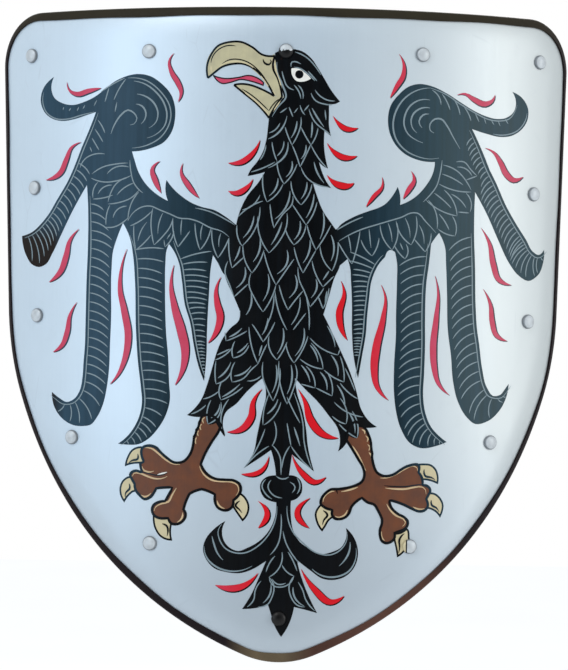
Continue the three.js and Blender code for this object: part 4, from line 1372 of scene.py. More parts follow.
# Flames beside the figure: a line from tip to tip and its greatest width, in pixels
FLAMES = [
    ((67, 82, 70, 91, 77, 94, 88, 91, 101, 88), 5),
    ((174, 53, 169, 62, 171, 71, 178, 83, 181, 91, 178, 102), 5),
    ((81, 142, 72, 147, 66, 160, 60, 173, 46, 180), 6),
    ((79, 229, 70, 240, 66, 256, 60, 272, 49, 282), 7),
    ((77, 302, 70, 315, 67, 332, 62, 345, 53, 352), 6),
    ((127, 249, 121, 270, 120, 290, 124, 310, 128, 335, 124, 361, 117, 376, 110, 384), 7.5),
    ((174, 265, 171, 284, 174, 305, 181, 330, 185, 350, 183, 368, 175, 385), 9),
    ((221, 277, 216, 290, 217, 303, 220, 316, 217, 330, 208, 343), 7),
    ((160, 161, 152, 170, 155, 180, 161, 193), 5.5), ((183, 163, 181, 172, 188, 185, 199, 198), 5),
    ((260, 140, 252, 154, 241, 162, 228, 163), 5.5), ((253, 179, 245, 189, 237, 193, 228, 191), 5.5),
    ((333, 116, 338, 123, 344, 128, 358, 128), 5), ((327, 143, 334, 152, 342, 157, 357, 156), 5.5),
    ((327, 175, 332, 181, 339, 185, 347, 186, 354, 183), 6.5),
    ((382, 177, 382, 187, 374, 196, 366, 207), 4), ((411, 171, 414, 181, 409, 189, 403, 199), 5),
    ((399, 54, 404, 66, 403, 76, 397, 86, 390, 98), 5),
    ((457, 95, 465, 94, 473, 99, 485, 104, 492, 101, 495, 95), 5.5),
    ((485, 148, 493, 152, 500, 162, 506, 174, 513, 180, 523, 177), 6.5),
    ((481, 228, 489, 243, 493, 264, 499, 280, 511, 285), 6.5),
    ((483, 289, 490, 304, 492, 322, 496, 335, 507, 341), 6),
    ((435, 276, 438, 292, 436, 318, 433, 348, 434, 367, 438, 383, 449, 395), 7),
    ((381, 285, 385, 296, 383, 318, 376, 348, 374, 367, 377, 387, 388, 400), 8),
    ((341, 281, 344, 292, 339, 314, 341, 328, 347, 340), 6.5),
    ((262, 389, 253, 402, 251, 417, 243, 428, 227, 432), 7),
    ((298, 389, 305, 402, 310, 419, 321, 433, 338, 438), 7.5), ((269, 456, 262, 470, 241, 474), 4.5),
    ((292, 455, 303, 474, 314, 482, 326, 477), 5.5), ((258, 501, 267, 513, 258, 528), 5.5),
    ((310, 498, 297, 513, 309, 528), 5.5), ((258, 573, 240, 587, 215, 585), 6.5),
    ((301, 569, 315, 590, 330, 602, 344, 596), 6.5),
]

# Each flame's dark edge, shifted and wider by so many pixels, and both coats' lift and flatness
FLAME_SHADE_SHIFT = (0.7, 0.6)
FLAME_EDGE = 1.6
FLAME_SHADE_LIFT = 0.05
FLAME_LIFT = 0.16
FLAME_FLATNESS = 0.03

# Light strokes over the black, read as pixels of the photograph. A row holds a stroke's points
# one after another, x before y. A pair of rows is a feather tip, drawn as two strokes that meet at
# its lowest point, and the thicker stroke inside it.
WING_LINES = [
    (128, 78, 145, 80, 161, 92, 170, 107, 171, 116, 168, 127, 161, 137, 150, 144, 132, 148),
    (101, 92, 113, 84, 125, 78), (44, 92, 43, 103, 47, 113, 57, 119, 68, 119, 82, 115, 94, 112),
    (126, 79, 118, 91, 114, 100), (117, 102, 115, 112), (109, 88, 105, 102), (97, 100, 94, 106),
    (85, 105, 83, 109), (79, 107, 77, 111), (71, 108, 69, 111), (64, 107, 63, 110),
    (98, 120, 102, 126, 105, 133), (95, 129, 99, 135, 103, 142), (92, 138, 95, 143, 99, 150),
    (90, 147, 92, 152), (80, 168, 85, 159, 95, 154, 105, 154), (130, 160, 131, 172, 134, 183, 143, 193),
    (139, 192, 133, 200, 129, 211, 128, 221), (92, 174, 103, 167, 116, 164, 128, 163),
    (91, 178, 104, 182, 116, 181, 132, 175), (107, 174, 116, 167, 129, 167), (93, 198, 94, 188, 98, 182),
    (93, 199, 103, 198, 113, 195), (98, 194, 104, 187, 112, 185),
    (108, 202, 110, 195, 116, 184, 128, 177), (108, 204, 121, 202, 131, 198, 139, 190),
    (117, 195, 124, 188, 134, 183), (106, 225, 107, 213, 110, 205),
    (105, 227, 114, 227, 122, 223, 128, 218), (113, 218, 117, 210, 127, 206),
    (
        128, 221, 133, 213, 142, 207, 150, 206, 160, 210, 170, 214, 179, 218, 190, 219, 197, 221,
        211, 228, 221, 231, 229, 237,
    ),
    (130, 226, 143, 219, 152, 211), (195, 208, 211, 212, 225, 219, 235, 225),
    (430, 88, 445, 94, 460, 104, 475, 113, 487, 119, 500, 121, 509, 119, 515, 111, 517, 105),
    (493, 134, 505, 135, 517, 131, 525, 121, 527, 113), (432, 90, 439, 97, 441, 105),
    (442, 94, 447, 102, 450, 110), (453, 98, 458, 107, 460, 115), (464, 107, 468, 113, 471, 121),
    (475, 113, 479, 122), (484, 118, 486, 124), (491, 120, 494, 125), (498, 121, 500, 126),
    (505, 119, 508, 124), (442, 160, 440, 174, 436, 187, 430, 195, 423, 202),
    (456, 162, 464, 162, 471, 170, 477, 176), (466, 180, 477, 176), (457, 167, 464, 168, 472, 176),
    (443, 165, 457, 171, 466, 181, 471, 190), (439, 184, 453, 190, 471, 192),
    (442, 174, 452, 178, 463, 185), (444, 190, 453, 201, 457, 216), (426, 200, 436, 208, 457, 216),
    (434, 193, 443, 200, 451, 208), (466, 193, 471, 202, 470, 212), (458, 212, 469, 213),
    (451, 194, 460, 200, 466, 208), (452, 216, 456, 225, 455, 236), (438, 229, 446, 234, 455, 236),
    (439, 214, 445, 222, 449, 230), (428, 200, 434, 208, 437, 218, 437, 229),
    (337, 230, 349, 223, 363, 217),
    (339, 241, 349, 235, 360, 230, 379, 224, 389, 221, 402, 217, 411, 213, 417, 213, 426, 222, 436, 233),
]
WING_THICK_LINES = [
    (134, 81, 145, 84, 156, 92, 164, 103, 167, 115, 165, 125, 158, 133, 147, 138),
    (137, 94, 147, 97, 154, 103, 158, 113, 157, 120, 149, 128),
    (136, 104, 142, 106, 146, 113, 145, 119, 141, 124),
    (111, 134, 116, 122, 122, 114, 128, 110, 134, 113, 137, 118, 134, 124, 130, 125),
    (430, 88, 418, 90, 406, 97, 396, 111, 393, 125, 396, 139, 405, 150, 416, 156, 430, 159, 439, 158),
    (430, 100, 420, 100, 411, 105, 405, 115, 404, 125, 408, 134, 416, 140, 423, 143),
    (430, 108, 422, 108, 414, 113, 411, 120, 412, 127, 417, 133),
    (429, 114, 423, 115, 419, 121, 422, 128),
    (434, 133, 430, 130, 430, 124, 435, 119, 441, 119, 447, 126, 453, 137, 460, 149),
]
WING_TIPS = [
    ((134, 225, 134, 238, 136, 250, 145, 242, 151, 235), (138, 241, 141, 231, 147, 222)),
    (
        (153, 208, 151, 223, 152, 235, 154, 245, 164, 235, 170, 227, 173, 218),
        (163, 213, 159, 223, 158, 234),
    ),
    ((164, 240, 165, 247, 172, 238, 174, 231), (167, 239, 171, 233)),
    ((173, 218, 173, 229, 178, 247, 185, 238, 190, 231), (182, 219, 181, 228, 181, 235)),
    ((195, 223, 196, 235, 200, 250, 208, 238, 211, 228), (203, 224, 201, 231, 201, 240)),
    ((212, 229, 213, 245, 218, 258, 225, 247, 229, 238), (221, 233, 219, 240, 219, 247)),
    ((338, 242, 343, 251, 352, 264, 356, 251, 360, 231), (348, 235, 350, 244, 351, 253)),
    ((361, 240, 364, 247, 372, 256, 377, 247, 379, 238), (369, 229, 370, 239, 371, 248)),
    ((380, 225, 384, 240, 392, 250, 397, 239, 397, 223), (388, 223, 391, 233, 392, 242)),
    ((396, 221, 401, 235, 411, 245, 416, 233, 416, 216), (405, 218, 409, 228, 410, 238)),
    ((414, 239, 425, 252, 430, 242, 431, 233), (419, 225, 423, 234, 424, 244)),
    ((394, 245, 399, 253, 405, 259, 408, 251, 406, 244), (400, 243, 403, 250)),
]

# Barbs across the long feathers: the rib's own line and how far beside it the rib is painted, the
# far edge, and the barbs' first place, spacing, drop and share of the width
BARB_SETS = [
    (
        [*LEFT_SHAFT_OUTER, (24, 235.5)], 2.5,
        [(100, 150), (95, 165), (87, 185), *LEFT_SHAFT_INNER[:0:-1]], 54, 7, 8, 0.9,
    ),
    (
        [(87, 196), *LEFT_LONG_OUTER[2:], (53, 393)], 3,
        [(104, 196), (105, 204), (113, 228), *LEFT_LONG_INNER[:0:-1]], 8, 8.9, 9.5, 0.9,
    ),
    (
        [(127, 236), *LEFT_LOW_OUTER[2:], (119, 443)], 3, [(166, 240), *LEFT_LOW_INNER[:0:-1]], 16, 9.3,
        6.5, 0.88,
    ),
    (
        [(171, 242), *LEFT_SHORT_OUTER[1:], (203, 379)], 2.6,
        [(213, 240), (212, 255), *LEFT_SHORT_INNER[::-1]], 8, 5.6, 5, 0.9,
    ),
    (
        [(472, 129), (479, 144), *RIGHT_SHAFT_OUTER[::-1]], -3,
        [(462, 130), (464, 145), (469, 160), (477, 176), *RIGHT_SHAFT_INNER], 8, 5.2, 9, 0.88,
    ),
    (
        RIGHT_LONG_OUTER[::-1], -3, [(457, 200), (457, 231), (441, 236), *RIGHT_LONG_INNER[1:]], 4, 9.6,
        14, 0.84,
    ),
    (RIGHT_LOW_OUTER[::-1], -3.2, [(395, 238), *RIGHT_LOW_INNER], 13, 9.2, 12, 0.82),
    (RIGHT_SHORT_OUTER[::-1], -2.8, [(350, 240), *RIGHT_SHORT_INNER], 3, 4.7, 3, 0.86),
]

BODY_LINES = [
    (282, 71, 284, 79, 287, 86, 294, 90), (291, 67, 292, 62, 297, 62, 301, 64),
    (294, 67, 301, 69, 309, 75, 315, 81), (308, 71, 317, 81), (295, 52, 306, 57, 315, 66, 321, 75),
    (315, 90, 320, 96, 327, 100, 335, 101), (311, 93, 316, 101, 324, 104, 332, 105),
    (294, 85, 299, 92, 301, 99), (298, 85, 302, 90, 303, 99), (280, 113, 287, 108), (294, 113, 298, 108),
    (300, 105, 302, 111, 305, 115), (304, 111, 309, 105), (309, 109, 315, 122, 327, 132, 331, 135),
    (269, 133, 275, 130, 280, 123), (272, 142, 274, 153, 277, 161), (284, 141, 282, 150, 277, 156),
    (266, 145, 264, 153, 260, 160), (311, 145, 317, 156, 327, 168),
    (301, 167, 307, 178, 318, 185, 329, 187), (251, 172, 263, 168, 275, 162),
    (242, 210, 253, 205, 260, 195), (238, 217, 248, 208, 263, 201), (289, 107, 293, 117),
    (325, 110, 326, 120), (275, 291, 278, 309, 287, 330), (274, 294, 271, 315, 265, 328),
    (300, 297, 299, 310, 291, 325), (306, 296, 309, 313, 309, 330), (306, 313, 293, 330),
    (217, 355, 230, 349), (215, 360, 225, 355, 232, 348), (247, 381, 257, 379, 261, 376),
    (203, 399, 212, 396, 219, 391), (191, 414, 200, 410, 206, 405), (222, 429, 221, 417, 229, 399),
    (340, 383, 349, 393, 358, 399), (345, 368, 351, 381, 355, 391), (334, 402, 345, 411, 363, 417),
    (269, 394, 265, 405, 263, 417, 263, 425), (281, 402, 277, 412, 264, 425),
    (274, 421, 276, 436, 272, 446), (244, 468, 255, 456, 269, 446), (265, 429, 259, 444, 249, 461),
    (287, 397, 293, 410, 300, 423), (294, 393, 299, 407, 303, 424, 304, 441, 312, 469),
    (291, 446, 299, 457, 311, 469), (287, 423, 289, 435, 291, 446),
    (272, 445, 280, 457, 281, 468, 281, 475), (290, 446, 284, 457, 282, 468),
    (266, 479, 262, 486, 265, 493, 272, 499), (271, 480, 268, 487, 272, 494, 282, 498),
    (297, 478, 300, 486, 297, 494), (290, 482, 295, 487, 292, 493), (276, 476, 282, 479, 289, 477),
    (277, 506, 275, 521, 269, 534, 258, 546, 244, 553, 236, 553, 225, 548, 219, 538, 218, 532, 222, 524),
    (281, 514, 281, 529, 278, 544, 270, 555), (283, 531, 286, 543, 292, 554, 299, 563),
    (287, 506, 288, 519, 293, 532, 303, 543, 317, 553, 329, 555, 339, 551, 346, 542, 347, 532),
    (275, 556, 269, 564, 266, 572), (282, 552, 281, 564, 276, 572, 269, 577),
    (282, 565, 287, 572, 294, 576), (288, 552, 294, 563, 297, 571),
    (269, 577, 274, 586, 282, 587, 289, 584, 294, 576), (272, 579, 277, 584, 286, 583),
    (269, 577, 274, 587, 272, 597, 268, 604, 258, 607), (261, 581, 255, 591, 254, 599, 247, 607),
    (294, 576, 289, 587, 291, 597, 297, 605, 305, 607), (298, 582, 303, 591, 305, 598, 315, 611),
]
BODY_THICK_LINES = [
    (277, 62, 277, 71, 282, 84, 286, 97, 278, 107, 272, 117), (312, 108, 317, 117, 324, 127),
    (268, 139, 277, 134, 284, 125, 287, 116), (288, 142, 286, 154, 276, 164, 268, 168),
    (267, 414, 275, 406, 278, 399), (294, 427, 297, 436, 300, 446),
    (212, 536, 214, 544, 218, 554, 223, 560),
    (204, 546, 207, 558, 215, 566, 229, 571, 243, 570, 252, 566),
    (312, 569, 323, 576, 335, 577, 349, 571, 355, 561, 356, 548),
    (350, 542, 349, 552, 344, 561, 339, 566), (271, 584, 270, 594, 263, 603),
    (293, 587, 295, 598, 304, 606), (251, 293, 251, 305, 246, 315),
]
BODY_TIPS = [
    ((285, 127, 291, 143, 292, 145, 298, 134, 301, 124, 301, 117), (297, 121, 295, 131, 291, 138)),
    ((301, 127, 306, 137, 311, 145, 316, 136, 318, 128), (312, 122, 312, 131, 311, 138)),
    ((292, 145, 297, 157, 300, 167, 306, 155, 311, 144), (306, 145, 305, 153, 301, 159)),
    ((277, 161, 278, 170, 284, 184, 293, 173, 297, 164), (292, 161, 292, 168, 286, 177)),
    ((263, 174, 263, 188, 267, 202, 277, 194, 283, 184), (278, 178, 276, 188, 269, 196)),
    ((291, 181, 293, 193, 301, 205, 309, 194, 312, 184), (307, 182, 306, 190, 301, 199)),
    ((), (314, 162, 317, 172, 324, 183)),
    ((270, 204, 271, 214, 274, 228, 283, 214, 292, 204, 293, 196), (290, 191, 287, 205, 275, 219)),
    ((292, 204, 298, 213, 306, 225, 314, 212, 317, 202), (314, 194, 312, 206, 306, 218)),
    ((237, 225, 238, 238, 242, 246, 254, 231, 259, 218, 260, 207), (254, 216, 252, 225, 243, 238)),
    ((258, 216, 259, 233, 269, 253, 280, 240, 286, 228, 287, 213), (282, 222, 278, 233, 271, 245)),
    ((285, 228, 289, 238, 294, 245, 303, 235, 306, 225), (300, 221, 300, 230, 294, 240)),
    ((307, 225, 311, 239, 316, 250, 324, 238, 331, 225), (323, 212, 324, 224, 320, 239)),
    ((229, 238, 229, 252, 232, 268, 244, 257), (240, 246, 238, 254, 234, 261)),
    ((243, 245, 244, 257, 252, 273, 260, 261, 264, 250), (260, 238, 260, 248, 253, 262)),
    ((294, 247, 297, 259, 303, 273, 311, 259, 316, 250), (310, 240, 309, 252, 303, 263)),
    ((320, 246, 323, 259, 332, 271, 337, 257, 338, 242), (331, 235, 334, 247, 331, 261)),
    ((264, 252, 268, 267, 276, 285, 287, 269, 294, 259), (287, 250, 287, 263, 277, 274)),
    ((312, 261, 316, 275, 323, 287, 334, 276), (329, 271, 323, 280)),
    ((228, 261, 225, 271, 230, 286, 234, 297, 248, 284), (245, 267, 245, 277, 236, 288)),
    ((251, 273, 249, 284, 255, 299, 263, 312, 271, 299, 276, 285), (268, 274, 269, 286, 263, 301)),
    ((279, 285, 282, 296, 288, 310, 297, 298, 303, 291), (295, 275, 297, 285, 289, 298)),
    ((298, 267, 299, 279, 305, 293, 310, 307, 318, 297, 324, 288), (316, 279, 317, 286, 311, 298)),
    ((318, 296, 323, 309, 327, 299, 329, 288), (327, 291, 325, 303)),
    ((252, 324, 258, 333, 263, 342, 270, 332, 275, 322), (268, 318, 266, 328, 262, 335)),
    ((269, 336, 269, 347, 277, 360, 284, 349, 287, 342), (283, 328, 283, 342, 277, 354)),
    ((286, 344, 289, 355, 294, 363, 303, 349, 308, 336), (304, 328, 303, 343, 295, 356)),
    ((249, 327, 251, 344, 258, 364, 264, 350, 267, 344), (262, 345, 259, 356)),
    ((225, 332, 226, 341, 238, 336, 247, 331), (229, 337, 238, 332, 242, 328)),
    ((235, 341, 232, 350, 233, 358, 244, 353, 249, 345), (237, 353, 244, 348, 248, 343)),
    ((216, 361, 215, 373, 216, 384, 226, 379, 232, 370), (218, 378, 226, 371, 231, 362)),
    ((235, 362, 231, 373, 232, 382, 244, 378, 251, 370, 258, 364), (234, 376, 242, 374, 251, 366)),
    ((222, 381, 219, 393, 221, 400, 232, 395, 243, 387), (222, 397, 232, 391, 240, 384)),
    ((211, 400, 207, 412, 208, 424, 218, 417, 221, 402), (211, 418, 217, 413, 220, 404)),
    ((310, 338, 321, 348, 338, 355, 340, 349), (327, 326, 333, 337, 335, 347)),
    ((300, 359, 311, 366, 323, 369, 320, 356, 311, 343), (310, 345, 316, 354, 318, 362)),
    ((324, 370, 333, 377, 344, 382, 344, 373, 340, 356), (331, 355, 337, 365, 338, 376)),
    ((301, 384, 315, 388, 314, 378, 306, 366), (301, 365, 307, 373, 310, 382)),
    ((316, 388, 326, 393, 332, 396, 332, 384, 327, 372), (320, 372, 326, 381, 327, 390)),
    ((332, 416, 340, 422, 346, 424, 347, 413, 340, 398), (337, 385, 344, 399, 345, 407)),
    ((339, 424, 350, 434, 357, 438, 358, 427, 352, 411), (349, 413, 354, 423, 355, 433)),
    ((263, 362, 263, 378, 268, 391, 273, 401, 278, 389, 280, 368), (276, 365, 277, 376, 272, 393)),
    ((279, 361, 280, 383, 287, 404, 293, 390, 297, 372, 295, 364), (291, 365, 292, 378, 287, 394)),
]

# Dark strokes round the beak and on the feet, pale ones along the toes and the beak, a light gap
# between two toes, and the scallops down the edges of the legs
BEAK_EDGES = [
    (208, 78, 207, 67, 211, 55, 218, 46, 230, 42, 241, 42, 252, 47, 263, 55, 275, 56),
    (275, 56, 273, 68, 278, 79, 282, 97),
    (208, 78, 214, 73, 222, 67, 232, 64, 244, 64, 253, 68, 261, 75, 269, 86, 274, 96),
    (234, 85, 240, 84, 250, 85, 261, 89, 274, 96), (234, 85, 245, 94, 256, 103, 269, 118),
    (269, 118, 272, 112, 282, 97),
]
DARK_LINES = [
    (211, 63, 213, 56, 218, 50, 226, 46, 236, 46), (242, 89, 254, 97, 263, 105, 269, 111),
    (269, 111, 272, 106, 279, 99), (222, 64, 229, 60, 242, 60, 251, 64, 259, 71, 266, 80),
    (141, 471.5, 148.3, 473.4, 157.8, 475.3, 167.4, 473),
    (384, 485.6, 396, 486.6, 405, 486.6, 415, 485.1, 423.4, 484.2), (336, 488, 337.5, 494),
]
DARK_MARKS = [
    (263, 59, 265, 63.4, 269, 64.6, 271.3, 61.4, 270, 59.5),
    (137.8, 453.8, 137.6, 459, 132, 460.5, 128.7, 463),
    (129.2, 483.5, 129.4, 489.2, 126.3, 492, 125.3, 497),
    (162.1, 523.7, 167.2, 526.5, 168, 531, 167, 536), (240, 500.7, 235.6, 506, 239.2, 509.3, 242, 513),
    (323, 510.5, 327.4, 515.3, 323.9, 520, 322.5, 525), (424, 469.3, 425.6, 476.3, 431, 477.4, 435, 480),
    (431.2, 500, 432, 505.6, 435.9, 507.6, 438.8, 511.6),
    (404.3, 533.4, 399.2, 540.1, 399.5, 546.8, 398.6, 553),
]
CREAM_LINES = [
    (144.4, 447.8, 151, 448.2, 158, 453, 165.5, 459.5, 173.2, 463.9, 180, 464.4),
    (142, 466.2, 144.4, 470.6, 148.3, 472, 154, 471),
    (132, 476.5, 134, 473.3, 139, 473, 146.4, 475.8, 154, 478.4, 160.7, 478.7, 167.4, 476.3),
    (138.7, 493.3, 144.4, 496.7, 151.1, 493),
    (176.5, 487.8, 172.2, 495, 168.4, 501.7, 161.7, 503.6, 156, 506.6, 154, 511.2),
    (182.6, 512.5, 182, 517.9, 177, 522.4), (217, 433.5, 210.5, 443.8, 204.2, 454.8, 202, 461),
    (199.5, 466, 204, 474.5, 211.4, 479.8, 221, 481.3, 231.5, 482, 237.3, 485, 238.7, 490.2, 236, 495.5),
    (217, 500.5, 219.5, 506, 224.8, 508.6), (352.5, 445.8, 358, 455, 362.6, 464, 366, 471),
    (357.9, 487, 349.8, 489.8, 341.1, 491.7), (334.5, 491.2, 328.7, 492.3, 324.6, 496.1, 323, 501.9),
    (347.4, 510, 344.6, 515, 339.2, 517.4, 334.8, 516),
    (380, 478, 386.1, 477.8, 395.7, 474.1, 405.3, 468.6, 412.9, 466, 417, 468, 417.7, 472),
    (385.2, 488, 395.7, 489, 405.3, 489, 414.8, 487.2, 422, 487, 425.4, 490, 426, 494),
    (412.9, 506.8, 418.7, 509.2, 424.4, 508.6),
    (386.6, 503.8, 390.9, 511, 396.7, 516, 403.3, 519, 405.3, 522, 402.4, 526.4),
    (381.6, 531.5, 381.3, 536.3, 384.6, 540.6),
]
CREAM_BANDS = [
    (219, 67, 227, 62.4, 238, 61.8, 247, 64, 256, 70, 263, 78, 270, 88, 275.5, 94.5),
    (243, 91.8, 254, 100, 263, 108.5, 268.8, 114.8), (270.4, 114.5, 274.5, 108.5, 280.5, 100.5),
    (275, 60, 275.6, 69, 279, 80, 281.6, 92), (211.4, 72, 211, 66),
]
GAPS_IN_FEET = [(157, 474.9, 162.6, 473.5, 167, 472)]
SCALLOPS = [
    (205, 417.4, 202, 419.4, 203.6, 423.4), (201.8, 424, 199.4, 426.4, 201, 430),
    (198.8, 430.6, 197, 433, 198.4, 436), (196.6, 437.4, 194.9, 440.2, 196, 444),
    (361.6, 429.4, 364.6, 430.8, 364.8, 434), (365.6, 435.6, 368.4, 438.4, 367, 442),
    (367.6, 444.4, 370.2, 446.8, 368.8, 450.6), (368.8, 452.4, 371, 454.6, 371, 459.4),
]

# The paint's layers: shares of the black coat's thickness, millimetres over it, and the height of a
# stroke as a share of its width
CLAW_COAT = 0.33
CLAW_EDGE_COAT = 0.36
LEG_COAT = 0.8
FEATHER_LIFT = 0.04
CREAM_LIFT = 0.08
EYE_LIFT = 0.08
BEAK_LIFT = 0.1
FOOT_GAP_LIFT = 0.12
BAND_LIFT = 0.13
IRIS_LIFT = 0.14
DARK_LIFT = 0.16
CLAW_EDGE_FLATNESS = 0.06
DETAIL_FLATNESS = 0.1
FEATHER_FLATNESS = 0.2


# Shapes of the shield's own pieces
def numbered(name, count):
    return [f"{name}_{i:02d}" for i in range(1, count + 1)]


def add_plate(finish):
    plate = sheet("steel_plate", BINDING_THICKNESS + GAP, 0, PLATE_THICKNESS, PLATE_GRID, finish)
    carry(plate, "shield", "field_paint", "shield_plate")


def add_lining(finish):
    lining = sheet("leather_lining", LINING_INSET, LINING_FRONT, LINING_BACK, LINING_GRID, finish)
    carry(lining, "shield", "lining_leather", "back_lining")


def lip_width(share, normal, waver):
    """The binding's width on the face: narrower down the sides, with the waver of hand-cut leather."""
    turn = 2 * math.pi * share
    width = BINDING_WIDTH * mix(BINDING_SIDE_SHARE, 1, normal.y * normal.y)
    return width + waver * (0.6 * math.sin(9 * turn + 0.7) + 0.4 * math.sin(23 * turn + 2.1))


def add_binding(finish, waver):
    back = PLATE_THICKNESS + GAP
    front = -GAP - BINDING_THICKNESS
    rounding = 0.5
    rings = []
    stations = edge_stations(2)
    for i, (point, normal) in enumerate(stations):
        width = lip_width(i / len(stations), normal, waver)
        profile = [
            (width, -GAP),
            (width, front + rounding),
            (width - rounding, front),
            (BINDING_THICKNESS + rounding, front),
            (BINDING_THICKNESS / 2, front + BINDING_THICKNESS / 3),
            (0, PLATE_THICKNESS / 2 - BINDING_FLAT / 2),
            (0, PLATE_THICKNESS / 2 + BINDING_FLAT / 2),
            (BINDING_THICKNESS / 2, back + BINDING_THICKNESS / 2),
            (BINDING_THICKNESS, back + BINDING_THICKNESS),
            (width - rounding, back + BINDING_THICKNESS),
            (width, back + BINDING_THICKNESS - rounding),
            (width, back),
            (BINDING_THICKNESS, back),
            (BINDING_THICKNESS, -GAP),
        ]
        ring = []
        for inset, depth in profile:
            flat = point - normal * (inset + BINDING_EASE)
            ring.append(bend(flat.x, flat.y, border_depth(inset) + depth))
        rings.append(ring)
    binding = solid("edge_leather", *loft(rings, True), finish, 50)
    carry(binding, "shield", "binding_leather", "edge_binding")


def turned(radius, depth, angle):
    """A place at a radius and depth, turned about the depth axis."""
    return Vector((radius * math.cos(angle), depth, radius * math.sin(angle)))


def lathed(profile, sides):
    """Points and faces of a profile of (radius, depth) turned about the depth axis."""
    turn = 2 * math.pi / sides
    rings = []
    for radius, depth in profile:
        rings.append([turned(max(radius, 0.001), depth, k * turn) for k in range(sides)])
    return loft(rings, False)


def quarter_turn(steps):
    return [math.pi / 2 * step / steps for step in range(steps + 1)]


def tail_profile(start):
    edge = start + TAIL_EDGE
    rise = TAIL_HEIGHT - TAIL_EDGE
    crown = [(TAIL_RADIUS * math.cos(a), edge + rise * math.sin(a)) for a in quarter_turn(4)]
    return [(SHANK_RADIUS, start), (TAIL_RADIUS, start), *crown]


def dome_profile(tail_start):
    rise = DOME_HEIGHT - DOME_RIM
    rim = -GAP - DOME_RIM
    dome = [(DOME_RADIUS * math.sin(a), rim - rise * math.cos(a)) for a in quarter_turn(8)]
    return [*dome, (DOME_RADIUS, -GAP), (SHANK_RADIUS, -GAP), *tail_profile(tail_start)]


def burr_profile(start):
    end = start + BURR_THICKNESS
    soft = 0.25
    return [
        (HOLE_RADIUS, start), (BURR_RADIUS, start), (BURR_RADIUS, end - soft), (BURR_RADIUS - soft, end),
        (HOLE_RADIUS + soft, end), (HOLE_RADIUS, end - soft),
    ]


def washer(profile, sides):
    """Points and faces of a closed profile turned about the depth axis, open in its middle."""
    turn = 2 * math.pi / sides
    rings = [[turned(radius, depth, k * turn) for radius, depth in profile] for k in range(sides)]
    return loft(rings, True)


def fixings(name, shape, places, nodes, slot, finish):
    """One piece of like fixings at places of (point, turn about the upright axis)."""
    pattern = solid(name + "_pattern", *shape, finish, 40)
    mesh = bpy.data.meshes.new(name + "_places")
    mesh.from_pydata([tuple(point * MM) for point, _ in places], [], [])
    turns = mesh.attributes.new("turn", "FLOAT_VECTOR", "POINT")
    turns.data.foreach_set("vector", [value for _, turn in places for value in (0, 0, turn)])
    source = link(name + "_places", mesh)
    made = grown(source, fixings_tree(), {"Fixing": pattern, "Material": finish})
    bpy.data.objects.remove(pattern)
    tidy_mesh(made, 40)
    carry(link(name, made), "shield", slot, *nodes)


def rim_places():
    """The rim rivets' seats: along the top, then down the sides and the flanks' arcs."""
    corner = TOP_HALF_ARC - CORNER_RIVET_INSET

    def side(drop):
        arc = TOP_HALF_ARC - drop * math.tan(SIDE_TAPER) - RIVET_INSET / math.cos(SIDE_TAPER)
        return Vector((arc, HALF_HEIGHT - drop))

    def flank(share):
        normal = normal_at(mix(SHOULDER_HEADING, FLANK_HEADING, share))
        return FLANK_CENTRE + normal * (FLANK_RADIUS - RIVET_INSET)

    right = [
        Vector((corner / 2, HALF_HEIGHT - RIVET_INSET)),
        Vector((corner, HALF_HEIGHT - RIVET_INSET)),
        side(UPPER_SIDE_RIVET_DROP),
        side(LOWER_SIDE_RIVET_DROP),
        *[flank(share) for share in FLANK_RIVET_SHARES],
    ]
    left = [Vector((-p.x, p.y)) for p in right]
    flat = [Vector((0, HALF_HEIGHT - RIVET_INSET)), *right, Vector((0, RIVET_INSET - HALF_HEIGHT)), *left]
    return [(bend(p.x, p.y, 0), p.x / PLATE_RADIUS) for p in flat]


def add_rim_fixings(domes, steel):
    burr_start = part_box("rim_burr_01")[0].y / MM + ARM_LINE_DEPTH
    tail_start = burr_start + BURR_THICKNESS + GAP
    places = rim_places()
    dome = lathed(dome_profile(tail_start), DOME_SIDES)
    fixings("domed_rivets", dome, places, numbered("rim_rivet", len(places)), "field_paint", domes)
    burr = washer(burr_profile(burr_start), SMALL_FIXING_SIDES)
    fixings("rim_washers", burr, places, numbered("rim_burr", len(places)), "bare_steel", steel)


def round_outline(centre, radius):
    turn = [math.pi / 8 * k for k in range(16)]
    return [Vector((centre[0] + radius * math.cos(a), centre[1] + radius * math.sin(a))) for a in turn]


def outlined(outlines, width):
    """Strokes just inside closed outlines."""
    strokes = []
    for runs in outlines:
        ring = closed_outline(runs, 2)
        turn = math.copysign(0.4 * width, signed_area(ring))
        inner = []
        for i, point in enumerate(ring):
            along = (ring[(i + 1) % len(ring)] - ring[i - 1]).normalized()
            inner.append(point + Vector((-along.y, along.x)) * turn)
        strokes.append(([*inner, inner[0]], width, full_stroke))
    return strokes


def rows_of_strokes(rows, width, profile):
    return [(pairs(row), width, profile) for row in rows]


def tip_strokes(tips, width, glint):
    strokes = []
    for tip, inner in tips:
        strokes += [(line, width, even_stroke) for line in pointed(tip)]
        strokes.append((pairs(inner), glint, swelling_stroke))
    return strokes


def barb_strokes(width, rib_width):
    strokes = []
    left, right = closed_outline(LEFT_WING), closed_outline(RIGHT_WING)
    for line, inset, far_edge, first, spacing, drop, reach in BARB_SETS:
        rib = beside(line, inset)
        strokes.append((rib[:-1:3] + rib[-1:], rib_width, even_stroke))
        side = math.copysign(1, inset)
        wing = left if inset > 0 else right
        laid = barbs(rib, side, far_edge, first, spacing, drop, reach, wing)
        strokes += [(barb, width, even_stroke) for barb in laid]
    return strokes


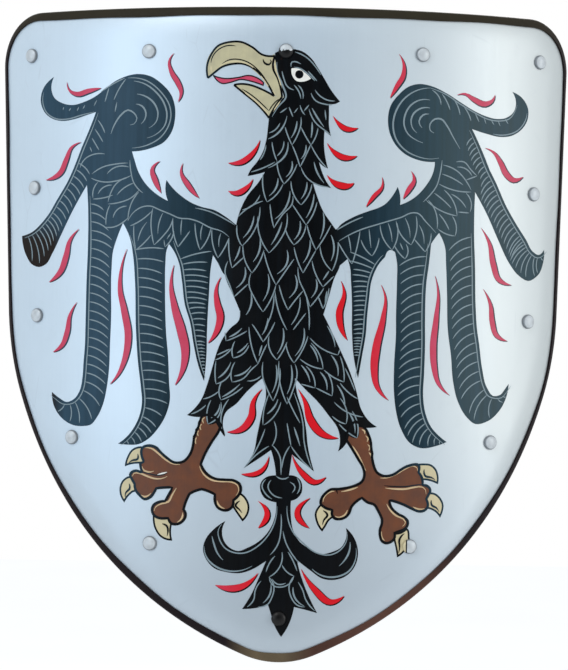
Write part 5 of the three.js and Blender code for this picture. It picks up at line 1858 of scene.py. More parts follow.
def add_flames(finishes):
    shades = []
    flames = []
    across, down = FLAME_SHADE_SHIFT
    for row, width in FLAMES:
        line = pairs(row)
        flames.append((line, width, flame_stroke))
        shades.append(([(x + across, y + down) for x, y in line], width + FLAME_EDGE, flame_stroke))
    brushwork("flame_shades", shades, FLAME_SHADE_LIFT, FLAME_FLATNESS, finishes["black"])
    brushwork("flames", flames, FLAME_LIFT, FLAME_FLATNESS, finishes["flame"])


def add_figure(lines, finishes):
    wings = [closed_outline(runs) for runs in (LEFT_WING, RIGHT_WING)]
    body = [closed_outline(runs) for runs in (HEAD_AND_NECK, THIGHS_AND_TAIL, KNOB, LILY)]
    paint_patch("eagle_black", wings + body, lines.coat, finishes["black"])
    claws = [closed_outline(runs, 1.5) for runs in CLAWS]
    paint_patch("eagle_claws", claws, lines.coat * CLAW_COAT, finishes["claw"])
    edges = outlined(CLAWS, lines.dark_line)
    brushwork("claw_edges", edges, lines.coat * CLAW_EDGE_COAT, CLAW_EDGE_FLATNESS, finishes["black"], 2)
    legs = [closed_outline(LEFT_LEG), closed_outline(RIGHT_LEG)]
    paint_patch("eagle_legs", legs, lines.coat * LEG_COAT, finishes["leg"])
    beak = [closed_outline(UPPER_BEAK), closed_outline(LOWER_BEAK)]
    paint_patch("eagle_beak", beak, lines.coat + BEAK_LIFT, finishes["beak"])
    paint_patch("eagle_tongue", [closed_outline(TONGUE)], lines.coat, finishes["tongue"])
    paint_patch("eagle_eye", [closed_outline(EYE_WHITE, 1)], lines.coat + EYE_LIFT, finishes["eye"])
    iris = round_outline(IRIS_CENTRE, IRIS_RADIUS)
    paint_patch("eagle_iris", [iris], lines.coat + IRIS_LIFT, finishes["black"])


def add_linework(lines, finishes):
    """The light feather lines, and the dark and cream lines round and over the beak and feet."""
    thin, glint, dark = lines.feather_line, lines.glint, lines.dark_line
    lift = lines.coat + FEATHER_LIFT
    wing = rows_of_strokes(WING_LINES, thin, even_stroke)
    wing += rows_of_strokes(WING_THICK_LINES, glint, swelling_stroke)
    wing += tip_strokes(WING_TIPS, thin, thin) + barb_strokes(thin, thin)
    brushwork("wing_lines", wing, lift, FEATHER_FLATNESS, finishes["line"])
    body = rows_of_strokes(BODY_LINES, thin, even_stroke)
    body += rows_of_strokes(BODY_THICK_LINES, glint, swelling_stroke)
    body += tip_strokes(BODY_TIPS, thin, glint)
    brushwork("body_lines", body, lift, FEATHER_FLATNESS, finishes["line"])
    edges = outlined([LEFT_LEG, RIGHT_LEG], dark * 1.35) + outlined([TONGUE], dark * 0.6)
    edges += rows_of_strokes(BEAK_EDGES, dark, full_stroke)
    edges += rows_of_strokes(DARK_LINES, dark * 0.6, even_stroke)
    edges += rows_of_strokes(DARK_MARKS, dark * 1.1, swelling_stroke)
    brushwork("dark_lines", edges, lines.coat + DARK_LIFT, DETAIL_FLATNESS, finishes["black"], 2)
    soft = rows_of_strokes(CREAM_LINES, thin * 1.5, swelling_stroke)
    soft += rows_of_strokes(SCALLOPS, thin * 1.8, swelling_stroke)
    brushwork("cream_lines", soft, lines.coat + CREAM_LIFT, DETAIL_FLATNESS, finishes["leg_pale"])
    bands = rows_of_strokes(CREAM_BANDS, dark, even_stroke)
    brushwork("beak_bands", bands, lines.coat + BAND_LIFT, DETAIL_FLATNESS, finishes["claw"])
    gaps = rows_of_strokes(GAPS_IN_FEET, dark, swelling_stroke)
    brushwork("foot_gap", gaps, lines.coat + FOOT_GAP_LIFT, DETAIL_FLATNESS, finishes["eye"])


# The leather on the back
def rounded_line(corners):
    """A line in the plane of height and depth, from (height, depth, radius) corners."""
    line = []
    for i, (z, depth, radius) in enumerate(corners):
        here = Vector((z, depth))
        if not radius:
            line.append(here)
            continue
        before = (Vector(corners[i - 1][:2]) - here).normalized()
        after = (Vector(corners[i + 1][:2]) - here).normalized()
        half = before.angle(after) / 2
        centre = here + (before + after).normalized() * (radius / math.sin(half))
        start = here + before * (radius / math.tan(half)) - centre
        turn = math.copysign(math.pi - 2 * half, before.y * after.x - before.x * after.y)
        steps = max(3, math.ceil(abs(turn) / 0.12))
        line += [centre + Matrix.Rotation(turn * k / steps, 2) @ start for k in range(steps + 1)]
    return line


def filled_in(line, step, extra=()):
    """The line with stations no further apart than a step, and at extra distances along it."""
    lengths = lengths_of(line)
    wanted = set(extra)
    for a, b in zip(lengths, lengths[1:]):
        count = max(1, math.ceil((b - a) / step))
        wanted |= {a + (b - a) * k / count for k in range(count)}
    wanted = sorted(wanted | {lengths[-1]})
    kept = [wanted[0]]
    for length in wanted[1:]:
        if length - kept[-1] > 0.05:
            kept.append(length)
    return [(place_along(line, lengths, length)[0], length) for length in kept], lengths[-1]


def directions(points):
    """The direction of a line at each of its points."""
    found = []
    for i in range(len(points)):
        before = points[max(0, i - 1)]
        after = points[min(len(points) - 1, i + 1)]
        found.append((after - before).normalized())
    return found


def rounded_corners(left, low, right, high, radius, steps, first=0):
    """Points round four corner arcs, whose centres stand at these sides, from a first quarter on."""
    points = []
    centres = ((right, high), (left, high), (left, low), (right, low))
    for quarter in range(first, first + 4):
        x, y = centres[quarter % 4]
        for step in range(steps + 1):
            angle = math.pi / 2 * (quarter + step / steps)
            points.append((x + radius * math.cos(angle), y + radius * math.sin(angle)))
    return points


def rounded_section(half, thick, soft):
    """A flat section with soft corners, as (across, lift) pairs."""
    soft = min(soft, half * 0.9, thick * 0.9)
    return rounded_corners(soft - half, soft - thick, half - soft, thick - soft, soft, 3)


def strap_shape(arc, line, thickness, half_at, ends):
    """Points and faces of a flat strap bent along a line in the plane at an arc."""
    lengths = lengths_of(line)
    extra = [*ends[0], *[lengths[-1] - distance for distance in ends[1]]]
    stations, total = filled_in(line, 4, extra)
    rings = []
    for (point, length), along in zip(stations, directions([point for point, _ in stations])):
        side = Vector((-along.y, along.x))
        half = half_at(length, total - length)
        ring = []
        for across, lift in rounded_section(half, thickness / 2, STRAP_SOFTNESS):
            spot = point + side * lift
            ring.append(seated(arc, across, spot.y, spot.x))
        rings.append(ring)
    return loft(rings, False)


END_SHARES = (0.02, 0.1, 0.2, 0.35, 0.5, 0.7, 0.85, 1)


def rounded_half(half, radius, distance):
    if distance >= radius:
        return half
    rest = radius - distance
    return half - radius + math.sqrt(max(0, radius * radius - rest * rest))


def peg(arc, x, z, radius, start, end, stretch=0):
    """Points and faces of an upright cutter, round or drawn out along the strap."""
    rings = []
    for depth in (start, end):
        ring = []
        for angle in [2 * math.pi * k / 32 for k in range(32)]:
            shift = stretch / 2 * (1 if math.sin(angle) > 0 else -1)
            height = z + shift + radius * math.sin(angle)
            ring.append(seated(arc, x + radius * math.cos(angle), depth, height))
        rings.append(ring)
    return loft(rings, False)


def block(arc, half_width, depths, heights):
    """Points and faces of a square cutter."""
    low, high = heights
    corners = [(-half_width, low), (half_width, low), (half_width, high), (-half_width, high)]
    return loft([[seated(arc, x, depth, z) for x, z in corners] for depth in depths], False)


def pierced(piece, cutters):
    """Cuts every cutter out of a piece."""
    points = []
    faces = []
    for cutter_points, cutter_faces in cutters:
        start = len(points)
        points += cutter_points
        faces += [tuple(i + start for i in face) for face in cutter_faces]
    tool = solid("cutter", points, faces, piece.data.materials[0])
    modifier = piece.modifiers.new("holes", "BOOLEAN")
    modifier.object = tool
    modifier.operation = "DIFFERENCE"
    modifier.solver = "EXACT"
    apply_modifiers(piece)
    bpy.data.objects.remove(tool)
    tidy_mesh(piece.data, 40)


def mark_edges(piece, arc, half):
    """Gives each vertex its share of the way from the strap's middle to its edge."""
    angle = arc / PLATE_RADIUS
    foot = bend(arc, ARM_LINE_HEIGHT, 0)
    across = Vector((math.cos(angle), math.sin(angle), 0))
    edge = piece.data.attributes.new("edge", "FLOAT", "POINT")
    for i, vertex in enumerate(piece.data.vertices):
        edge.data[i].value = abs((vertex.co / MM - foot).dot(across)) / half


def hollow_under(half_width):
    return half_width * half_width / (2 * (PLATE_RADIUS - LINING_BACK))


FOOT_DEPTH = LINING_BACK + GAP + hollow_under(STRAP_WIDTH / 2) + STRAP_THICKNESS / 2
FOLD_RADIUS = BAR_RADIUS + GAP + STRAP_THICKNESS / 2
CHAPE_DEPTH = BAR_DEPTH + FOLD_RADIUS
TURN_BACK_DEPTH = CHAPE_DEPTH - STRAP_THICKNESS - GAP
BILLET_DEPTH = CHAPE_DEPTH + STRAP_THICKNESS + GAP
LOW_BILLET_DEPTH = BAR_DEPTH + BAR_RISE
FAR_BAR_DEPTH = LOW_BILLET_DEPTH + STRAP_THICKNESS / 2 + GAP + BAR_RADIUS
FAR_RISE = FAR_BAR_DEPTH - BAR_DEPTH
BAR_SPAN = math.hypot(FRAME_LENGTH, FAR_RISE)
TONGUE_RADIUS = BAR_RADIUS + GAP + TONGUE_THICKNESS / 2
SHANK_TURN = math.atan2(FAR_RISE, FRAME_LENGTH) + math.asin(2 * TONGUE_RADIUS / BAR_SPAN)
FOOT_END = ARCH_HALF + ARCH_SPREAD + FOOT_LENGTH
FOREARM_RIVETS = [
    (side * STRAP_RIVET_PITCH / 2, end * (FOOT_END - STRAP_RIVET_END))
    for end in (1, -1) for side in (-1, 1)
]
GRIP_FOOT_END = GRIP_HALF + GRIP_SPREAD + GRIP_FOOT_LENGTH
GRIP_RIVETS = [
    (0, end * (GRIP_FOOT_END - GRIP_RIVET_END - row * GRIP_RIVET_PITCH))
    for end in (1, -1) for row in (0, 1)
]


def chape_line():
    main = rounded_line([
        (FOOT_END, FOOT_DEPTH, 0),
        (ARCH_HALF + ARCH_SPREAD, FOOT_DEPTH, FOOT_RADIUS),
        (ARCH_HALF, CHAPE_DEPTH, ARCH_RADIUS),
        (0, CHAPE_DEPTH, 0),
    ])
    fold = []
    for step in range(1, 24):
        angle = math.pi * step / 24
        fold.append(Vector((-FOLD_RADIUS * math.sin(angle), BAR_DEPTH + FOLD_RADIUS * math.cos(angle))))
    back = rounded_line([
        (0, BAR_DEPTH - FOLD_RADIUS, 0),
        (CHAPE_DIP_START, BAR_DEPTH - FOLD_RADIUS, STRAP_THICKNESS),
        (CHAPE_DIP_END, TURN_BACK_DEPTH, STRAP_THICKNESS),
        (CHAPE_TURN_BACK, TURN_BACK_DEPTH, 0),
    ])
    return main, fold, back


def billet_line():
    return rounded_line([
        (-FOOT_END, FOOT_DEPTH, 0),
        (-ARCH_HALF - ARCH_SPREAD, FOOT_DEPTH, FOOT_RADIUS),
        (-ARCH_HALF, LOW_BILLET_DEPTH, ARCH_RADIUS),
        (-BILLET_RAMP_START, LOW_BILLET_DEPTH, STRAP_WIDTH),
        (-BILLET_RAMP_END, BILLET_DEPTH, STRAP_THICKNESS),
        (BILLET_TIP, BILLET_DEPTH, 0),
    ])


def grip_line():
    foot = LINING_BACK + GAP + hollow_under(GRIP_WIDTH / 2) + GRIP_THICKNESS / 2
    top = LINING_BACK + GRIP_CLEAR + GRIP_THICKNESS / 2
    line = rounded_line([
        (GRIP_FOOT_END, foot, 0),
        (GRIP_HALF + GRIP_SPREAD, foot, FOOT_RADIUS),
        (GRIP_HALF, top, GRIP_RADIUS),
        (-GRIP_HALF, top, GRIP_RADIUS),
        (-GRIP_HALF - GRIP_SPREAD, foot, FOOT_RADIUS),
        (-GRIP_FOOT_END, foot, 0),
    ])
    return line, foot


def foot_holes(arc, places, top):
    return [peg(arc, x, z, HOLE_RADIUS, 0, top + 2) for x, z in places]


def add_chape(finish):
    main, fold, back = chape_line()
    half = STRAP_WIDTH / 2
    ends = ([share * FOOT_END_RADIUS for share in END_SHARES], [])
    shape = strap_shape(
        STRAP_ARC, [*main, *fold, *back], STRAP_THICKNESS,
        lambda start, _: rounded_half(half, FOOT_END_RADIUS, start), ends,
    )
    chape = solid("strap_chape", *shape, finish, 40)
    reach = FOLD_RADIUS + STRAP_THICKNESS
    slot = block(STRAP_ARC, TONGUE_SLOT_WIDTH / 2, (BAR_DEPTH - reach, BAR_DEPTH + reach), (-reach, reach))
    places = [place for place in FOREARM_RIVETS if place[1] > 0]
    pierced(chape, [slot, *foot_holes(STRAP_ARC, places, FOOT_DEPTH + STRAP_THICKNESS / 2)])
    mark_edges(chape, STRAP_ARC, half)
    carry(chape, "shield", "strap_leather", "forearm_chape")


def used_hole_height():
    """Where the tongue's shank comes up through the billet's ramp, less the hole's lead."""
    slope = (BILLET_DEPTH - LOW_BILLET_DEPTH) / (BILLET_RAMP_START - BILLET_RAMP_END)
    start = TONGUE_RADIUS / math.cos(SHANK_TURN)
    ramp_top = BILLET_DEPTH - BAR_DEPTH + slope * BILLET_RAMP_END
    return HOLE_LEAD - (ramp_top + start) / (math.tan(SHANK_TURN) + slope)


def add_billet(finish):
    half = STRAP_WIDTH / 2

    def half_at(start, end):
        if end >= BILLET_POINT_LENGTH:
            return rounded_half(half, FOOT_END_RADIUS, start)
        return half * math.sqrt(mix(BILLET_TIP_SHARE, 1, end / BILLET_POINT_LENGTH))

    ends = (
        [share * FOOT_END_RADIUS for share in END_SHARES],
        [share * BILLET_POINT_LENGTH for share in END_SHARES],
    )
    shape = strap_shape(STRAP_ARC, billet_line(), STRAP_THICKNESS, half_at, ends)
    billet = solid("strap_billet", *shape, finish, 40)
    middle = (BILLET_DEPTH + LOW_BILLET_DEPTH) / 2
    reach = (BILLET_DEPTH - LOW_BILLET_DEPTH + STRAP_THICKNESS + 4) / 2
    stretch = HOLE_LENGTH - HOLE_WIDTH
    holes = []
    for row in range(3):
        height = used_hole_height() + row * HOLE_PITCH
        holes.append(peg(STRAP_ARC, 0, height, HOLE_WIDTH / 2, middle - reach, middle + reach, stretch))
    places = [place for place in FOREARM_RIVETS if place[1] < 0]
    pierced(billet, [*holes, *foot_holes(STRAP_ARC, places, FOOT_DEPTH + STRAP_THICKNESS / 2)])
    mark_edges(billet, STRAP_ARC, half)
    carry(billet, "shield", "strap_leather", "forearm_billet")


def add_grip(finish):
    line, foot = grip_line()
    half = GRIP_WIDTH / 2
    ends = [share * GRIP_END_RADIUS for share in END_SHARES]
    shape = strap_shape(
        GRIP_ARC, line, GRIP_THICKNESS,
        lambda start, end: rounded_half(half, GRIP_END_RADIUS, min(start, end)), (ends, ends),
    )
    grip = solid("palm_grip", *shape, finish, 40)
    pierced(grip, foot_holes(GRIP_ARC, GRIP_RIVETS, foot + GRIP_THICKNESS / 2))
    mark_edges(grip, GRIP_ARC, half)
    carry(grip, "shield", "strap_leather", "hand_grip")


def flat_profile(tail_start):
    start = PLATE_THICKNESS + 2 * GAP
    end = start + FLAT_HEAD_THICKNESS
    head = [(0, start), (FLAT_HEAD_RADIUS, start), (FLAT_HEAD_RADIUS, end), (SHANK_RADIUS, end)]
    return [*head, *tail_profile(tail_start)]


def add_foot_fixings(steel):
    grip_foot = grip_line()[1]
    feet = (
        ("forearm", STRAP_ARC, FOREARM_RIVETS, FOOT_DEPTH + STRAP_THICKNESS / 2),
        ("grip", GRIP_ARC, GRIP_RIVETS, grip_foot + GRIP_THICKNESS / 2),
    )
    for name, arc, spots, top in feet:
        places = [(seated(arc, x, 0, z), arc / PLATE_RADIUS) for x, z in spots]
        burr_start = top + GAP
        rivet = lathed(flat_profile(burr_start + BURR_THICKNESS + GAP), SMALL_FIXING_SIDES)
        burr = washer(burr_profile(burr_start), SMALL_FIXING_SIDES)
        rivets, burrs = numbered(f"{name}_rivet", len(places)), numbered(f"{name}_burr", len(places))
        fixings(f"{name}_foot_rivets", rivet, places, rivets, "bare_steel", steel)
        fixings(f"{name}_foot_washers", burr, places, burrs, "bare_steel", steel)


def add_buckle(steel):
    """The frame of round wire: its near bar lies in the chape's fold, its far bar over the billet."""
    lean = math.atan2(FAR_RISE, FRAME_LENGTH)
    corner = FRAME_CORNER
    reach = FRAME_HALF_WIDTH - corner
    corners = rounded_corners(-reach, corner, reach, BAR_SPAN - corner, corner, 8, -1)
    line = [Vector(point) for point in corners]
    rings = []
    for i, point in enumerate(line):
        along = (line[(i + 1) % len(line)] - line[i - 1]).normalized()
        outward = Vector((along.y, -along.x))
        ring = []
        for k in range(20):
            angle = 2 * math.pi * k / 20
            spot = point + outward * (BAR_RADIUS * math.cos(angle))
            lift = BAR_RADIUS * math.sin(angle)
            depth = BAR_DEPTH + spot.y * math.sin(lean) + lift * math.cos(lean)
            height = -spot.y * math.cos(lean) + lift * math.sin(lean)
            ring.append(seated(STRAP_ARC, spot.x, depth, height))
        rings.append(ring)
    wire = solid("buckle_wire", *loft(rings, True), steel, 60)
    carry(wire, "frame", "bare_steel", "buckle_frame")


def add_tongue(steel):
    """The tongue: its eye goes round the near bar and its shank lies on the far one."""
    end = 1.5 * math.pi + SHANK_TURN
    line = []
    for step in range(33):
        angle = mix(TONGUE_EYE_START, end, step / 32)
        line.append(Vector((TONGUE_RADIUS * math.cos(angle), TONGUE_RADIUS * math.sin(angle))))
    far = Vector((FRAME_LENGTH, FAR_RISE))
    for step in range(9):
        turn = mix(-SHANK_TURN, SHANK_TURN, step / 8)
        line.append(far + Vector((math.sin(turn), math.cos(turn))) * TONGUE_RADIUS)
    stations, total = filled_in(line, 3)
    rings = []
    for (point, length), along in zip(stations, directions([point for point, _ in stations])):
        side = Vector((-along.y, along.x))
        taper = min(1, mix(TONGUE_TIP_SHARE, 1, (total - length) / TONGUE_TAPER))
        ring = []
        half, thick = taper * TONGUE_WIDTH / 2, taper * TONGUE_THICKNESS / 2
        for across, lift in rounded_section(half, thick, TONGUE_SOFTNESS):
            spot = point + side * lift
            ring.append(seated(STRAP_ARC, across, BAR_DEPTH + spot.y, -spot.x))
        rings.append(ring)
    tongue = solid("tongue_wire", *loft(rings, False), steel, 50)
    carry(tongue, "tongue", "bare_steel", "buckle_tongue")


def add_keeper(finish):
    start = CHAPE_TURN_BACK + GAP
    end = start + KEEPER_WIDTH
    wall = KEEPER_THICKNESS
    soft = 0.4
    inner_corner = KEEPER_CORNER - wall
    half = STRAP_WIDTH / 2 + GAP - inner_corner
    low = CHAPE_DEPTH - STRAP_THICKNESS / 2 - GAP + inner_corner
    high = BILLET_DEPTH + STRAP_THICKNESS / 2 + GAP - inner_corner
    profile = [
        (0, start), (wall - soft, start), (wall, start + soft),
        (wall, end - soft), (wall - soft, end), (0, end),
    ]
    rings = []
    for out, z in profile:
        corners = rounded_corners(-half, low, half, high, inner_corner + out, 6, -1)
        rings.append([seated(STRAP_ARC, x, depth, z) for x, depth in corners])
    keeper = solid("keeper_loop", *loft(rings, True), finish, 50)
    mark_edges(keeper, STRAP_ARC, NOWHERE_NEAR)
    carry(keeper, "keeper", "strap_leather", "strap_keeper")


def surface_run(arc, line, side_sign, thickness, across):
    """A line on a strap's surface, in metres."""
    stations, _ = filled_in(line, 3)
    run = []
    for (point, _), along in zip(stations, directions([point for point, _ in stations])):
        spot = point + Vector((-along.y, along.x)) * side_sign * thickness / 2
        run.append(seated(arc, across, spot.y, spot.x) * MM)
    return run


def trimmed(line, first_cut, last_cut):
    """A line that is shortened by a distance at each end."""
    lengths = lengths_of(line)
    end = lengths[-1] - last_cut
    inner = [point for point, length in zip(line, lengths) if first_cut < length < end]
    return [place_along(line, lengths, first_cut)[0], *inner, place_along(line, lengths, end)[0]]


def lay_stitches(name, lines, sizes, thread, slot):
    """One piece of stitches along lines that are given in metres."""
    source = lines_source(name + "_lines", lines)
    settings = {"Pitch": sizes.stitch_pitch * MM, "Length": sizes.stitch_length * MM, "Material": thread}
    mesh = grown(source, stitch_tree(), settings)
    mesh.shade_smooth()
    carry(link(name, mesh), "shield", slot)


def add_stitches(sizes, thread):
    """Saddle stitching along both edges of the strap's ends and the grip."""
    chape = trimmed(chape_line()[0], STITCH_END, STITCH_END)
    billet = trimmed(billet_line(), STITCH_END, BILLET_STITCH_END)
    palm = trimmed(grip_line()[0], STITCH_END, STITCH_END)
    strap, grip = STRAP_THICKNESS + STITCH_RISE, GRIP_THICKNESS + STITCH_RISE
    lines = []
    for side in (-1, 1):
        strap_across = side * (STRAP_WIDTH / 2 - STITCH_EDGE)
        grip_across = side * (GRIP_WIDTH / 2 - STITCH_EDGE)
        lines.append(surface_run(STRAP_ARC, chape, -1, strap, strap_across))
        lines.append(surface_run(STRAP_ARC, billet, 1, strap, strap_across))
        lines.append(surface_run(GRIP_ARC, palm, -1, grip, grip_across))
    lay_stitches("strap_stitches", lines, sizes, thread, "strap_leather")


def pad_outline(steps):
    """The pad's outline about its middle: a soft rectangle whose sides draw in between its corners."""
    around = []
    for step in range(steps):
        angle = 2 * math.pi * (step + 0.5) / steps
        u, v = math.cos(angle), math.sin(angle)
        u, v = (math.copysign(abs(value) ** PAD_SQUARENESS, value) for value in (u, v))
        pull = PAD_PINCH * min(2 - u * u - v * v, 1)
        s = u * (PAD_LENGTH / 2 - (pull if abs(u) > abs(v) else 0))
        z = v * (PAD_HEIGHT / 2 - (pull if abs(v) > abs(u) else 0))
        around.append(Vector((s, z)))
    return around


def add_pad(finish, thread, sizes, settled):
    """The arm pad: two leathers with stuffing between them, sewn round their edge."""
    floor = LINING_BACK + GAP + PAD_EASE
    seam = floor + PAD_THICKNESS * PAD_SEAM_SHARE
    top = floor + PAD_THICKNESS * PAD_CROWN_SHARE
    around = pad_outline(120)

    def ring(share, depth):
        share *= PAD_SHRINK
        return [bend(PAD_ARC + p.x * share, ARM_LINE_HEIGHT + p.y * share, depth) for p in around]

    rings = []
    for step in range(16):
        share = math.sin(math.pi / 2 * step / 15)
        rise = math.sqrt(max(0, 1 - share ** 3))
        rings.append(ring(max(share, 0.01), mix(seam, top, rise)))
    rings.append(ring(0.95, floor + PAD_SEAM / 2))
    rings += [ring(share, floor) for share in (0.7, 0.4, 0.01)]
    pad = solid("arm_pad_leather", *loft(rings, False), finish, 80)
    if settled:
        swell(pad, [Vector(corner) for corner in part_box("arm_pad")])
    tidy_mesh(pad.data, 80)
    carry(pad, "shield", "pad_leather", "arm_pad")
    add_piping(around, seam, finish)
    add_pad_stitches(pad, around, sizes, thread)


def add_piping(around, seam, finish):
    """The round welt that is sewn into the pad's edge seam."""
    rings = []
    for i, point in enumerate(around):
        along = (around[(i + 1) % len(around)] - around[i - 1]).normalized()
        outwards = Vector((along.y, -along.x))
        ring = []
        for k in range(10):
            angle = 2 * math.pi * k / 10
            spot = point * PIPING_SHARE + outwards * (PIPING_RADIUS * math.cos(angle))
            depth = seam + PIPING_RADIUS * math.sin(angle)
            ring.append(bend(PAD_ARC + spot.x, ARM_LINE_HEIGHT + spot.y, depth))
        rings.append(ring)
    carry(solid("pad_piping", *loft(rings, True), finish, 60), "shield", "pad_leather")


def add_pad_stitches(pad, around, sizes, thread):
    """A row of stitches on the pad's leather, a little inside its piping."""
    run = []
    for point in around:
        share = 1 - PAD_STITCH_INSET / point.length
        arc, height = PAD_ARC + point.x * share, ARM_LINE_HEIGHT + point.y * share
        start = bend(arc, height, PAD_THICKNESS * 3)
        hit, spot, normal, _ = pad.ray_cast(start * MM, (bend(arc, height, 0) - start).normalized())
        if hit:
            run.append(spot + normal * PAD_STITCH_RISE * MM)
    lay_stitches("pad_stitches", [[*run, run[0]]], sizes, thread, "pad_leather")


def swell(pad, limits):
    """Fills the pad: remeshed, blown up a little as cloth, and kept in its solid's space."""
    remesh = pad.modifiers.new("even", "REMESH")
    remesh.mode = "VOXEL"
    remesh.voxel_size = PAD_VOXEL * MM
    apply_modifiers(pad)
    start = [vertex.co.copy() for vertex in pad.data.vertices]
    held = pad.vertex_groups.new(name="sewn")
    low = MM * (LINING_BACK + GAP + PAD_SEWN_DEPTH)
    for vertex in pad.data.vertices:
        if PLATE_RADIUS * MM - from_bend_axis(vertex.co) < low:
            held.add([vertex.index], 1.0, "REPLACE")
    cloth = pad.modifiers.new("stuffing", "CLOTH")
    cloth.settings.use_pressure = True
    cloth.settings.uniform_pressure_force = PAD_PRESSURE
    cloth.settings.effector_weights.gravity = 0
    cloth.settings.vertex_group_mass = "sewn"
    cloth.settings.pin_stiffness = PAD_PIN_STIFFNESS
    cloth.point_cache.frame_start = 1
    cloth.point_cache.frame_end = PAD_SETTLING_FRAMES
    for step in range(PAD_SETTLING_FRAMES):
        bpy.context.scene.frame_set(step + 1)
    apply_modifiers(pad)
    bpy.context.scene.frame_set(1)
    furthest = PAD_SWELL_LIMIT * MM
    for vertex, origin in zip(pad.data.vertices, start):
        move = vertex.co - origin
        if move.length > furthest:
            vertex.co = origin + move * (furthest / move.length)
        keep_inside(vertex, limits)
    smooth_out = pad.modifiers.new("soft", "SUBSURF")
    smooth_out.levels = 1
    smooth_out.render_levels = 1
    apply_modifiers(pad)


def from_bend_axis(place):
    """How far a place lies from the axis that the plate is bent round, in metres."""
    return math.hypot(place.x, place.y - (PLATE_RADIUS - ARM_LINE_DEPTH) * MM)


def keep_inside(vertex, limits):
    """Moves a vertex back into its solid's box and off the lining."""
    low, high = limits
    vertex.co = Vector(max(low[i], min(high[i], vertex.co[i])) for i in range(3))
    radius = from_bend_axis(vertex.co)
    most = (PLATE_RADIUS - LINING_BACK - GAP) * MM
    if radius > most:
        axis = Vector((0, (PLATE_RADIUS - ARM_LINE_DEPTH) * MM, vertex.co.z))
        vertex.co = axis + (vertex.co - axis) * (most / radius)


def apply_modifiers(piece):
    mesh = evaluated_mesh(piece)
    piece.modifiers.clear()
    piece.data = mesh


# Stage
FLAG_BLACK = (0.01, 0.01, 0.01)
FLAG_HEIGHTS = (-1.6, 2.4)
FLOOR_TONES = ((0.8, 0.8, 0.8), (0.84, 0.84, 0.84))
FLOOR_GLOW = 0.5
FLOOR_REACH = 9
WHITE = (1.0, 1.0, 1.0, 1.0)
COOL_LAMP = (214, 232, 250)
PLAIN_LAMP = (1.0, 0.98, 0.96)


def add_camera():
    data = bpy.data.cameras.new("photo_camera")
    data.sensor_fit = "VERTICAL"
    data.sensor_height = SENSOR_HEIGHT
    data.lens = SENSOR_HEIGHT * CAMERA_DISTANCE / (PHOTO_SIZE[1] * PIXEL)
    data.clip_end = 50
    camera = bpy.data.objects.new("photo_camera", data)
    bpy.context.scene.collection.objects.link(camera)
    right = Vector((math.cos(CAMERA_ROLL), 0, math.sin(CAMERA_ROLL)))
    up = Vector((-math.sin(CAMERA_ROLL), 0, math.cos(CAMERA_ROLL)))
    back = Vector((0, -1, 0))
    across, below = (size / 2 - middle for size, middle in zip(PHOTO_SIZE, PHOTO_MIDDLE))
    place = Vector((0, -CAMERA_DISTANCE - ARM_LINE_DEPTH, -ARM_LINE_HEIGHT))
    place += (right * across - up * below) * PIXEL
    axes = Matrix((right, up, back)).transposed().to_4x4()
    camera.matrix_world = Matrix.Translation(place * MM) @ axes
    bpy.context.scene.camera = camera


def add_lamp(name, place, aim, size, power, colour):
    data = bpy.data.lights.new(name, "AREA")
    data.shape = "RECTANGLE"
    data.size, data.size_y = size
    data.energy = power
    data.color = colour
    lamp = bpy.data.objects.new(name, data)
    bpy.context.scene.collection.objects.link(lamp)
    lamp.location = place
    lamp.rotation_euler = (Vector(aim) - Vector(place)).to_track_quat("-Z", "Y").to_euler()


def add_world(light):
    world = bpy.data.worlds.new("studio")
    bpy.context.scene.world = world
    world.use_nodes = True
    bench = Bench(world.node_tree)
    world.node_tree.nodes.clear()
    path = bench.add("ShaderNodeLightPath").outputs
    seen = bench.calc("MAXIMUM", path["Is Camera Ray"], path["Is Glossy Ray"])
    seen = bench.calc("MAXIMUM", seen, path["Is Transmission Ray"])
    soft = bench.add("ShaderNodeBackground", {"Color": opaque(light.air), "Strength": light.air_strength})
    white = bench.add("ShaderNodeBackground", {"Color": WHITE, "Strength": 1.0})
    both = bench.add("ShaderNodeMixShader", {0: seen, 1: soft.outputs[0], 2: white.outputs[0]})
    bench.add("ShaderNodeOutputWorld", {"Surface": both.outputs[0]})


def stage_plane(name, corners, finish):
    mesh = bpy.data.meshes.new(name)
    mesh.from_pydata(corners, [], [(0, 1, 2, 3)])
    mesh.materials.append(finish)
    plane = link(name, mesh)
    return plane


def add_floor(light):
    """A pale floor well below the shield, which hangs from the arm that holds it."""
    material = bpy.data.materials.new("studio_floor")
    material.use_nodes = True
    bench = Bench(material.node_tree)
    material.node_tree.nodes.clear()
    path = bench.add("ShaderNodeLightPath").outputs
    place = bench.add("ShaderNodeTexCoord").outputs["Object"]
    lit = bench.add("ShaderNodeBsdfDiffuse", {"Color": bench.tint(bench.noise(place, 2.0), *FLOOR_TONES)})
    glow = bench.add("ShaderNodeEmission", {"Color": WHITE, "Strength": FLOOR_GLOW})
    both = bench.add("ShaderNodeAddShader", {0: lit.outputs[0], 1: glow.outputs[0]})
    seen = bench.calc("MAXIMUM", path["Is Camera Ray"], path["Is Glossy Ray"])
    chosen = bench.add("ShaderNodeMixShader", {0: seen, 1: lit.outputs[0], 2: both.outputs[0]})
    bench.add("ShaderNodeOutputMaterial", {"Surface": chosen.outputs[0]})
    reach, low = FLOOR_REACH, -light.floor_drop
    corners = [(-reach, -reach, low), (reach, -reach, low), (reach, reach, low), (-reach, reach, low)]
    stage_plane("floor", corners, material)


